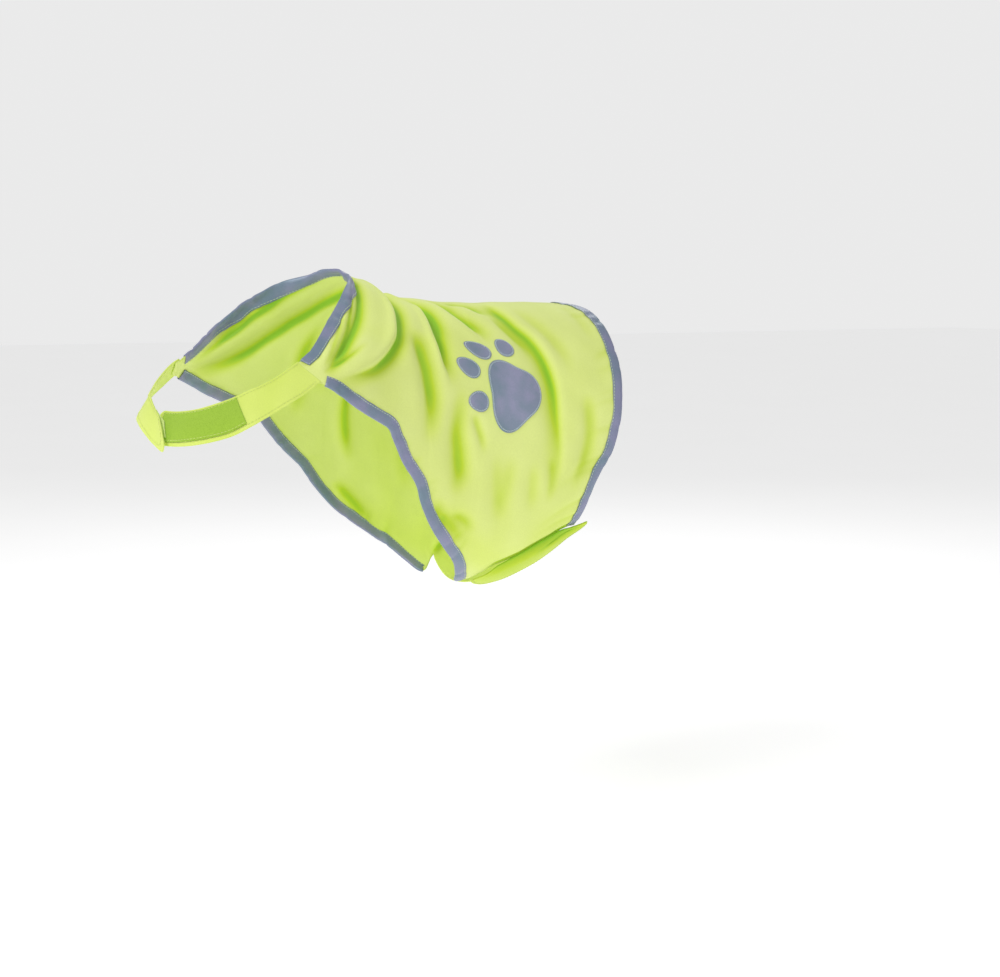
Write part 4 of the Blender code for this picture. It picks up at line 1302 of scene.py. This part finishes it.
@dataclass
class NeckRibbon(LaidPiece):
    """A strap or tape round the neck, with straight or rounded ends."""

    rounded: float = 0.0
    step: float = 0.0026
    cell: float = 0.0030
    curl: float = 0.0
    curl_reach: float = 0.016
    end_fullness: float = 0.96

    def grid(self) -> tuple[Array, Array, Array, Array, Array]:
        """The ribbon's stations, angles, lifts, flat places and distances to its edge."""
        dense = np.linspace(0.0, self.lines[-1].order, 400)
        upper = self.form.bare(self.at(dense, "upper_station"), self.at(dense, "upper_angle"))
        lower = self.form.bare(self.at(dense, "lower_station"), self.at(dense, "lower_angle"))
        run = run_of((upper + lower) / 2)
        width = float(np.linalg.norm(upper - lower, axis=-1).mean())
        reach = edge_spaced(run[-1], 0.0003, self.step)
        order = np.interp(reach, run, dense)
        across = edge_spaced(width, 0.0002, self.cell)
        inset = np.zeros_like(reach)
        if self.rounded:
            to_end = np.clip((run[-1] - reach) / self.rounded, 0.0, 1.0)
            inset = self.rounded * (1 - np.sqrt(np.clip(1 - (1 - to_end)**2, 0.0, 1.0)))
            inset *= self.end_fullness
        part = (inset[:, None] + (width - 2 * inset[:, None]) * across / width) / width
        station, angle = (self.at(order, "upper_" + key)[:, None] * (1 - part)
                          + self.at(order, "lower_" + key)[:, None] * part
                          for key in ("station", "angle"))
        to_side = np.minimum(part, 1 - part) * width - inset[:, None]
        to_side = np.minimum(np.minimum(across, width - across), to_side)
        to_end = np.minimum(reach, run[-1] - reach)[:, None]
        distance = np.minimum(np.broadcast_to(to_end, to_side.shape), np.maximum(to_side, 0.0))
        lift = np.broadcast_to(self.at(order, "lift")[:, None], part.shape)
        if self.curl:
            lift = lift + (self.curl * ease(1 - to_end / self.curl_reach)
                           * (reach > run[-1] / 2)[:, None])
        flat = np.stack(np.broadcast_arrays(reach[:, None], part * width), axis=-1)
        self.cut_size = (float(run[-1]), width)
        return station, angle, lift, flat, distance

    def seam(self, inset: float) -> tuple[Array, Array]:
        """A seam line round the ribbon's sides and free end, with its outward directions."""
        station, angle, lift, _, _ = self.grid()
        rows, columns = station.shape
        row_run = run_of(self.form.bare(station[:, columns // 2], angle[:, columns // 2]))
        column_run = run_of(self.form.bare(station[rows // 2], angle[rows // 2]))
        low_r, high_r = inset, row_run[-1] - inset
        low_c, high_c = inset, column_run[-1] - inset
        bend = min(self.rounded, (high_c - low_c) / 2) * 0.8 if self.rounded else 0.0
        turn = np.linspace(0.0, math.pi / 2, 9)
        along = np.linspace(low_r, high_r - bend, 220)
        over = np.linspace(high_c - bend, low_c + bend, 60)
        lead = [(r, high_c) for r in along]
        lead += [(high_r - bend + bend * math.sin(t), high_c - bend + bend * math.cos(t))
                 for t in turn]
        lead += [(high_r, c) for c in over]
        lead += [(high_r - bend + bend * math.cos(t), low_c + bend - bend * math.sin(t))
                 for t in turn]
        lead += [(r, low_c) for r in along[::-1]]
        path = np.array(lead)
        row = np.interp(path[:, 0], row_run, np.arange(rows))
        column = np.interp(path[:, 1], column_run, np.arange(columns))
        return self.on_top((station, angle, lift), row, column)


def bilinear(values: Array, row: Array, column: Array) -> Array:
    """Read a grid at fractional rows and columns."""
    r0 = np.clip(np.floor(row).astype(int), 0, values.shape[0] - 2)
    c0 = np.clip(np.floor(column).astype(int), 0, values.shape[1] - 2)
    r, c = row - r0, column - c0
    return ((1 - r) * (1 - c) * values[r0, c0] + r * (1 - c) * values[r0 + 1, c0]
            + (1 - r) * c * values[r0, c0 + 1] + r * c * values[r0 + 1, c0 + 1])


@dataclass
class BellyFlap(LaidPiece):
    """A strap or tape under the belly."""

    rise: float = 0.0
    step: float = 0.0020
    cell: float = 0.0026
    seam_points: int = 160
    read_by = "station"

    def grid(self) -> tuple[Array, Array, Array, Array, Array]:
        """The flap's stations, angles, lifts, flat places and distances to its edge."""
        first, last = self.lines[0].station, self.lines[-1].station
        dense = np.linspace(first, last, 300)
        seam = self.form.bare(dense, self.at(dense, "seam_angle"))
        end = self.form.bare(dense, self.at(dense, "end_angle"))
        run = run_of(seam * 0.5 + end * 0.5)
        widths = np.linalg.norm(seam - end, axis=-1)
        longest = float(widths.max())
        reach = edge_spaced(run[-1], 0.0003, self.step)
        station = np.interp(reach, run, dense)
        across = edge_spaced(longest, 0.0003, self.cell) / longest
        width = np.interp(reach, run, widths)[:, None]
        seam_angle = self.at(station, "seam_angle")[:, None]
        end_angle = self.at(station, "end_angle")[:, None]
        angle = seam_angle + (end_angle - seam_angle) * across
        grown = across * np.ones_like(width)
        if self.rise:
            grown = ease(across * width / self.rise)
        low, high = (self.at(station, key)[:, None] for key in ("seam_lift", "end_lift"))
        lift = low + (high - low) * grown
        to_end = np.minimum(reach, run[-1] - reach)[:, None]
        distance = np.minimum(to_end, np.minimum(across, 1 - across) * width)
        flat = np.stack(np.broadcast_arrays(reach[:, None], across * width), axis=-1)
        self.cut_size = (float(run[-1]), longest)
        return np.broadcast_to(station[:, None], angle.shape), angle, lift, flat, distance

    def seam(self, inset: float) -> tuple[Array, Array]:
        """A seam line along the flap's free end, with its outward directions."""
        station, angle, lift, flat, _ = self.grid()
        rows, columns = station.shape
        row = np.linspace(0.5, rows - 1.5, self.seam_points)
        across = [flat[int(at), :, 1] for at in row]
        column = np.array([np.interp(run[-1] - inset, run, np.arange(columns))
                           for run in across])
        return self.on_top((station, angle, lift), row, column)


@dataclass(frozen=True)
class Toe:
    """One toe of the badge, seen flat on the side."""

    name: str
    aft: float
    up: float
    half_long: float
    half_short: float
    lean: float


@dataclass
class PawBadge:
    """A grey paw on one side: four egg-shaped toes and a pad."""

    form: WornForm
    side: Side
    station: float = 0.672
    angle: float = 66.0
    lift: float = 0.0013
    finish: EdgeFinish = EdgeFinish(0.0008, 0.0005, 0.0016, 0.00012)
    toes: tuple[Toe, ...] = (
        Toe("toe_1", -0.0398, -0.0035, 0.0118, 0.0103, 176.0),
        Toe("toe_2", -0.0446, 0.0315, 0.0138, 0.0097, 140.0),
        Toe("toe_3", -0.0276, 0.0525, 0.0155, 0.0097, 144.0),
        Toe("toe_4", 0.0026, 0.0550, 0.0128, 0.0093, 110.0),
    )
    toe_taper: float = 0.16
    pad_up: float = 0.0035
    pad_half: float = 0.0285
    pad_lean: float = 122.0
    pad_wave: float = 0.15
    pad_taper: float = 0.05
    pad_taller: float = 1.25
    toe_points: int = 84
    pad_points: int = 168
    edge_steps: tuple[float, ...] = (0.0, 0.00012, 0.0003, 0.0006, 0.0010, 0.0015, 0.0021,
                                     0.0030)
    inner_start: float = 0.0045
    inner_step: float = 0.0026
    seam_inset: float = 0.0011
    seam_sunk: float = 0.00002
    closing_moves: int = 8

    def outlines(self) -> dict[str, tuple[Array, Array]]:
        """Each lobe's centre and outline, as aft and up distances."""
        found = {}
        for toe in self.toes:
            turn = np.linspace(0.0, 2 * math.pi, self.toe_points, endpoint=False)
            long_way = toe.half_long * np.cos(turn)
            short_way = toe.half_short * np.sin(turn) * (1 - self.toe_taper * np.cos(turn))
            lean = math.radians(toe.lean)
            outline = np.stack([long_way * math.cos(lean) - short_way * math.sin(lean),
                                long_way * math.sin(lean) + short_way * math.cos(lean)], -1)
            found[toe.name] = (np.array([toe.aft, toe.up]), outline)
        turn = np.linspace(0.0, 2 * math.pi, self.pad_points, endpoint=False)
        away = turn - math.radians(self.pad_lean)
        radius = self.pad_half * (1 + self.pad_wave * np.cos(3 * away)
                                  - self.pad_taper * np.cos(away))
        found["pad"] = (np.array([0.0, self.pad_up]),
                        np.stack([radius * np.cos(turn),
                                  self.pad_taller * radius * np.sin(turn)], -1))
        return found

    def spots(self, flat: Array) -> tuple[Array, Array]:
        """The places on the form under points of the flat badge."""
        sign = self.side.value
        anchor = self.form.bare(self.station, sign * self.angle)
        normal = self.form.outward(self.form.bare, self.station, sign * self.angle)
        aft = unit(np.array([0.0, 1.0, 0.0]) - normal * normal[1])
        up = np.cross(normal, aft) * sign
        targets = anchor + flat[..., :1] * aft + flat[..., 1:] * up
        station = np.full(flat.shape[:-1], self.station)
        angle = np.full(flat.shape[:-1], sign * self.angle)
        for _ in range(self.closing_moves):
            station, angle = self.form.step(station, angle,
                                            targets - self.form.bare(station, angle))
        return station, angle

    def build(self, wardrobe: Wardrobe) -> list[bpy.types.Object]:
        """Make the lobes and the thread round their edges."""
        made, rows = [], []
        for name, (centre, outline) in self.outlines().items():
            size = float(np.linalg.norm(outline, axis=1).min())
            inner = np.linspace(1 - self.inner_start / size, 0.0,
                                max(4, round(size / self.inner_step)))
            rings = np.concatenate([1 - np.array(self.edge_steps) / size, inner])[::-1]
            flat = centre + outline[None] * rings[:, None, None]
            station, angle = self.spots(flat)
            distance = np.broadcast_to(((1 - rings) * size)[:, None], station.shape)
            lift = np.full(station.shape, self.lift)
            patch = closed_sheet(self.form, station, angle, lift, flat, distance, self.finish,
                                 wrap=True)
            node = f"badge_{name}_{self.side.label}"
            made.append(patch.dress("patch_" + node, wardrobe.patch, Slot.REFLECTIVE,
                                    (node,)))
            rows.append(self._sewing(centre, outline, size))
        thread = joined(rows).dress(f"stitches_badge_{self.side.label}", wardrobe.pale_thread,
                                    Slot.REFLECTIVE)
        return [*made, thread]

    def _sewing(self, centre: Array, outline: Array, size: float) -> Patch:
        """A tight zigzag round one lobe, just inside its edge."""
        closed = np.concatenate([outline, outline[:2]])
        flat = centre + closed * (1 - self.seam_inset / size)
        fine = np.linspace(0.0, len(flat) - 1.001, 4 * len(flat))
        flat = np.stack([np.interp(fine, np.arange(len(flat)), flat[:, k]) for k in (0, 1)], -1)
        station, angle = self.spots(flat)
        out = self.form.outward(self.form.cloth, station, angle)
        line = self.form.place(station, angle,
                               self.lift + self.finish.thickness - self.seam_sunk)
        row = StitchRow(pitch=0.0012, radius=0.00026, style=StitchStyle.ZIGZAG, width=0.0013)
        return row.build(line, out)


# --- the whole vest and its studio --------------------------------------------------------


@dataclass
class Vest:
    """The dog safety vest: every piece in the order in which it is sewn."""

    form: WornForm
    wardrobe: Wardrobe
    strap: float = 0.0018
    tape: float = 0.0010
    neck_seam: float = 0.0030
    tape_seam: float = 0.0014
    belly_seam: float = 0.0028

    def bindings(self, cut: PanelCut) -> list[EdgeBinding]:
        """The four bound edges: neck, hem and both armholes."""
        return [
            EdgeBinding(self.form, cut, "neck", (-0.909, 0.909), (0.0, 0.0), 21),
            EdgeBinding(self.form, cut, "hem", (-1.0, 1.0), (1.0, 1.0), 22),
            EdgeBinding(self.form, cut, "armhole_left", (1.0, 1.0), (0.135, 0.80), 23),
            EdgeBinding(self.form, cut, "armhole_right", (-1.0, -1.0), (0.135, 0.80), 24),
        ]

    def neck_straps(self) -> list[NeckRibbon]:
        """Both neck straps."""
        low, top = 0.0022, 0.0075
        edge = EdgeFinish(self.strap, 0.0009, 0.0030, 0.00022)
        left = (Crosswise(0, -0.006, 100.5, 0.111, 97.0, low),
                Crosswise(1, -0.004, 111.0, 0.117, 111.0, low),
                Crosswise(2, -0.005, 129.7, 0.125, 127.3, low),
                Crosswise(3, -0.008, 143.5, 0.138, 139.0, low),
                Crosswise(4, -0.005, 157.5, 0.147, 151.0, low),
                Crosswise(5, 0.002, 172.0, 0.150, 168.0, low),
                Crosswise(6, 0.006, 191.0, 0.150, 191.0, low))
        right = (Crosswise(0, -0.006, -100.5, 0.111, -97.0, low),
                 Crosswise(1, -0.008, -115.0, 0.112, -113.0, low),
                 Crosswise(2, -0.016, -129.0, 0.108, -128.0, low),
                 Crosswise(3, -0.022, -141.0, 0.102, -140.0, low + 0.0006),
                 Crosswise(4, -0.020, -154.0, 0.108, -155.0, top - 0.0004),
                 Crosswise(5, 0.000, -163.0, 0.126, -166.0, top),
                 Crosswise(6, 0.034, -169.5, 0.150, -174.5, top),
                 Crosswise(7, 0.070, -177.0, 0.172, -184.5, top))
        # The numbers added to these straps' colour are painted shade.
        return [NeckRibbon(self.form, "cloth_neck_strap_left", "neck_strap_left", left, edge,
                           Slot.CLOTH, rounded=0.009, tint=0.30),
                NeckRibbon(self.form, "cloth_neck_strap_right", "neck_strap_right", right, edge,
                           Slot.CLOTH, rounded=0.013, tint=0.19, curl=0.0022)]

    def neck_tapes(self) -> list[NeckRibbon]:
        """The loop tape on the left neck strap and the hook tape under the right one."""
        edge = EdgeFinish(self.tape, 0.0004)
        loop = (Crosswise(0, 0.004, 144.0, 0.124, 140.0, 0.0045),
                Crosswise(1, 0.008, 157.0, 0.133, 152.0, 0.0045),
                Crosswise(2, 0.014, 172.0, 0.136, 168.0, 0.0045),
                Crosswise(3, 0.018, 187.0, 0.136, 187.0, 0.0045))
        hook = (Crosswise(0, 0.018, -166.5, 0.100, -169.0, 0.0060),
                Crosswise(1, 0.040, -171.5, 0.118, -175.0, 0.0060),
                Crosswise(2, 0.064, -176.5, 0.124, -180.5, 0.0060))
        return [NeckRibbon(self.form, "loop_neck", "neck_loop_tape", loop, edge, Slot.LOOP),
                NeckRibbon(self.form, "hook_neck", "neck_hook_tape", hook, edge, Slot.HOOK)]

    def belly_straps(self) -> list[BellyFlap]:
        """Both belly straps."""
        top = 0.0047
        left = (Lengthwise(0.762, 161.4, 162.6, 0.0042, top),
                Lengthwise(0.766, 160.4, 163.6, 0.0042, top),
                Lengthwise(0.778, 158.4, 165.4, 0.0042, top),
                Lengthwise(0.800, 153.5, 167.2, 0.0032, top),
                Lengthwise(0.835, 146.5, 166.0, 0.0024, top),
                Lengthwise(0.880, 141.5, 158.5, 0.0024, top),
                Lengthwise(0.905, 140.2, 152.5, 0.0034, top),
                Lengthwise(0.930, 139.4, 147.5, 0.0042, top),
                Lengthwise(0.950, 138.7, 144.3, 0.0042, top),
                Lengthwise(0.960, 138.6, 142.0, 0.0042, top),
                Lengthwise(0.964, 139.0, 140.6, 0.0042, top))
        right = (Lengthwise(0.780, 204.8, 167.0, -0.0014, 0.0),
                 Lengthwise(0.800, 209.0, 160.0, -0.0012, 0.0),
                 Lengthwise(0.835, 214.8, 156.5, -0.0012, 0.0),
                 Lengthwise(0.865, 218.6, 156.0, -0.0012, 0.0),
                 Lengthwise(0.888, 220.4, 158.5, -0.0014, 0.0),
                 Lengthwise(0.908, 221.4, 170.0, -0.0024, 0.0),
                 Lengthwise(0.926, 221.8, 184.0, -0.0027, 0.0),
                 Lengthwise(0.936, 221.4, 194.0, -0.0027, 0.0),
                 Lengthwise(0.942, 220.0, 201.0, -0.0027, 0.0))
        # The numbers added to these straps' colour are painted shade.
        return [BellyFlap(self.form, "cloth_belly_strap_left", "belly_strap_left", left,
                          EdgeFinish(self.strap, 0.0009, 0.0028, 0.00022), Slot.CLOTH,
                          rise=0.010, tint=0.52),
                BellyFlap(self.form, "cloth_belly_strap_right", "belly_strap_right", right,
                          EdgeFinish(0.0012, 0.0006), Slot.CLOTH, rise=0.010, tint=0.20)]

    def belly_tapes(self) -> list[BellyFlap]:
        """The loop tape on the right belly strap and the hook tape under the left one."""
        edge = EdgeFinish(self.tape, 0.0004)
        loop = (Lengthwise(0.806, 192.0, 160.0, 0.0017, 0.0017),
                Lengthwise(0.880, 192.0, 160.0, 0.0017, 0.0017))
        hook = (Lengthwise(0.802, 159.5, 169.0, 0.0032, 0.0032),
                Lengthwise(0.832, 157.0, 165.0, 0.0032, 0.0032),
                Lengthwise(0.858, 154.5, 159.5, 0.0032, 0.0032))
        return [BellyFlap(self.form, "loop_belly", "belly_loop_tape", loop, edge, Slot.LOOP),
                BellyFlap(self.form, "hook_belly", "belly_hook_tape", hook, edge, Slot.HOOK)]

    def build(self) -> None:
        """Make and dress every piece."""
        cut = PanelCut()
        panel = BackPanel(self.form, cut)
        cloth = panel.build(self.wardrobe)
        sewn_on = []
        for binding in self.bindings(cut):
            sewn_on += binding.build(self.wardrobe)
        for side in Side:
            sewn_on += PawBadge(self.form, side).build(self.wardrobe)
        finishes = {Slot.CLOTH: self.wardrobe.cloth, Slot.LOOP: self.wardrobe.loop,
                    Slot.HOOK: self.wardrobe.hook}
        necks, bellies, tapes = self.neck_straps(), self.belly_straps(), self.neck_tapes()
        for part in (*necks, *bellies, *tapes, *self.belly_tapes()):
            piece = part.build(finishes[part.slot])
            LOG.info("%s cut %.3f x %.3f m", piece.name, *part.cut_size)
        sewn = [(strap, self.neck_seam) for strap in necks]
        sewn += [(tapes[0], self.tape_seam)]
        sewn += [(strap, self.belly_seam) for strap in bellies]
        for part, inset in sewn:
            row = StitchRow().build(*part.seam(inset))
            row.dress("stitches_" + part.stands_for, self.wardrobe.yellow_thread, Slot.CLOTH)


@dataclass
class Studio:
    """A pale floor, soft light and the camera."""

    target: tuple[float, float, float] = (0.0, 0.122, -0.2015)
    azimuth: float = 60.0
    elevation: float = 6.5
    distance: float = 2.0
    lens: float = 68.15
    floor_z: float = -0.5765
    floor_half: float = 14.0

    def _back(self) -> Vector:
        """The direction from the vest to the camera."""
        turn, rise = math.radians(self.azimuth), math.radians(self.elevation)
        return Vector((math.sin(turn) * math.cos(rise), -math.cos(turn) * math.cos(rise),
                       math.sin(rise)))

    def camera(self) -> None:
        """Put the camera at the photograph's angle."""
        data = bpy.data.cameras.new("camera")
        data.lens, data.sensor_width = self.lens, 36.0
        data.clip_start, data.clip_end = 0.05, 60.0
        camera = bpy.data.objects.new("camera", data)
        camera.location = Vector(self.target) + self._back() * self.distance
        camera.rotation_euler = (-self._back()).to_track_quat("-Z", "Y").to_euler()
        bpy.context.scene.collection.objects.link(camera)
        bpy.context.scene.camera = camera

    def floor(self) -> None:
        """Lay the floor."""
        mesh = bpy.data.meshes.new("floor")
        half, z = self.floor_half, self.floor_z
        mesh.from_pydata([(-half, -half, z), (half, -half, z), (half, half, z),
                          (-half, half, z)], [], [(0, 1, 2, 3)])
        mesh.materials.append(StudioFloor().material())
        floor = bpy.data.objects.new("floor", mesh)
        bpy.context.scene.collection.objects.link(floor)

    def lamp(self, name: str, place: tuple[float, float, float], size: float,
             power: float, colour: tuple[float, float, float] = (1.0, 1.0, 1.0)) -> None:
        """Hang one soft square light that faces the vest."""
        data = bpy.data.lights.new(name, "AREA")
        data.shape, data.size, data.energy, data.color = "SQUARE", size, power, colour
        light = bpy.data.objects.new(name, data)
        light.location = place
        away = Vector(place) - Vector(self.target)
        light.rotation_euler = (-away).to_track_quat("-Z", "Y").to_euler()
        bpy.context.scene.collection.objects.link(light)

    def world(self, light: float, seen: float) -> None:
        """A plain sky: its light on the vest, and the pale ground that is seen."""
        sky = bpy.data.worlds.new("studio")
        bpy.context.scene.world = sky
        sky.use_nodes = True
        nodes, links = sky.node_tree.nodes, sky.node_tree.links
        lit = nodes["Background"]
        lit.inputs["Strength"].default_value = light
        lit.inputs["Color"].default_value = (1.0, 1.0, 1.0, 1.0)
        plain = nodes.new("ShaderNodeBackground")
        plain.inputs["Color"].default_value = (1.0, 1.0, 1.0, 1.0)
        plain.inputs["Strength"].default_value = seen
        path, mix = nodes.new("ShaderNodeLightPath"), nodes.new("ShaderNodeMixShader")
        links.new(path.outputs["Is Camera Ray"], mix.inputs[0])
        links.new(lit.outputs[0], mix.inputs[1])
        links.new(plain.outputs[0], mix.inputs[2])
        links.new(mix.outputs[0], nodes["World Output"].inputs[0])

    def build(self) -> None:
        """Set up the studio."""
        bpy.context.scene.view_settings.view_transform = "Standard"
        self.camera()
        self.floor()
        self.lamp("key", (0.75, -1.75, 1.55), 0.9, 30.0)
        self.lamp("fill", (2.0, 0.9, 0.5), 1.8, 3.0)
        self.lamp("back", (-1.6, 1.2, 1.5), 1.4, 14.0)
        self.world(0.43, 0.825)


def main() -> None:
    """Build the studio and the vest."""
    logging.basicConfig(level=logging.INFO, format="%(name)s %(message)s")
    Studio().build()
    LOG.info("studio is ready")
    small = Gathers().creases(PanelCut())
    form = WornForm(SECTIONS, LEFT_CREASES + RIGHT_CREASES + BELLY_CREASES + small)
    Vest(form, Wardrobe()).build()


if __name__ == "__main__":
    main()
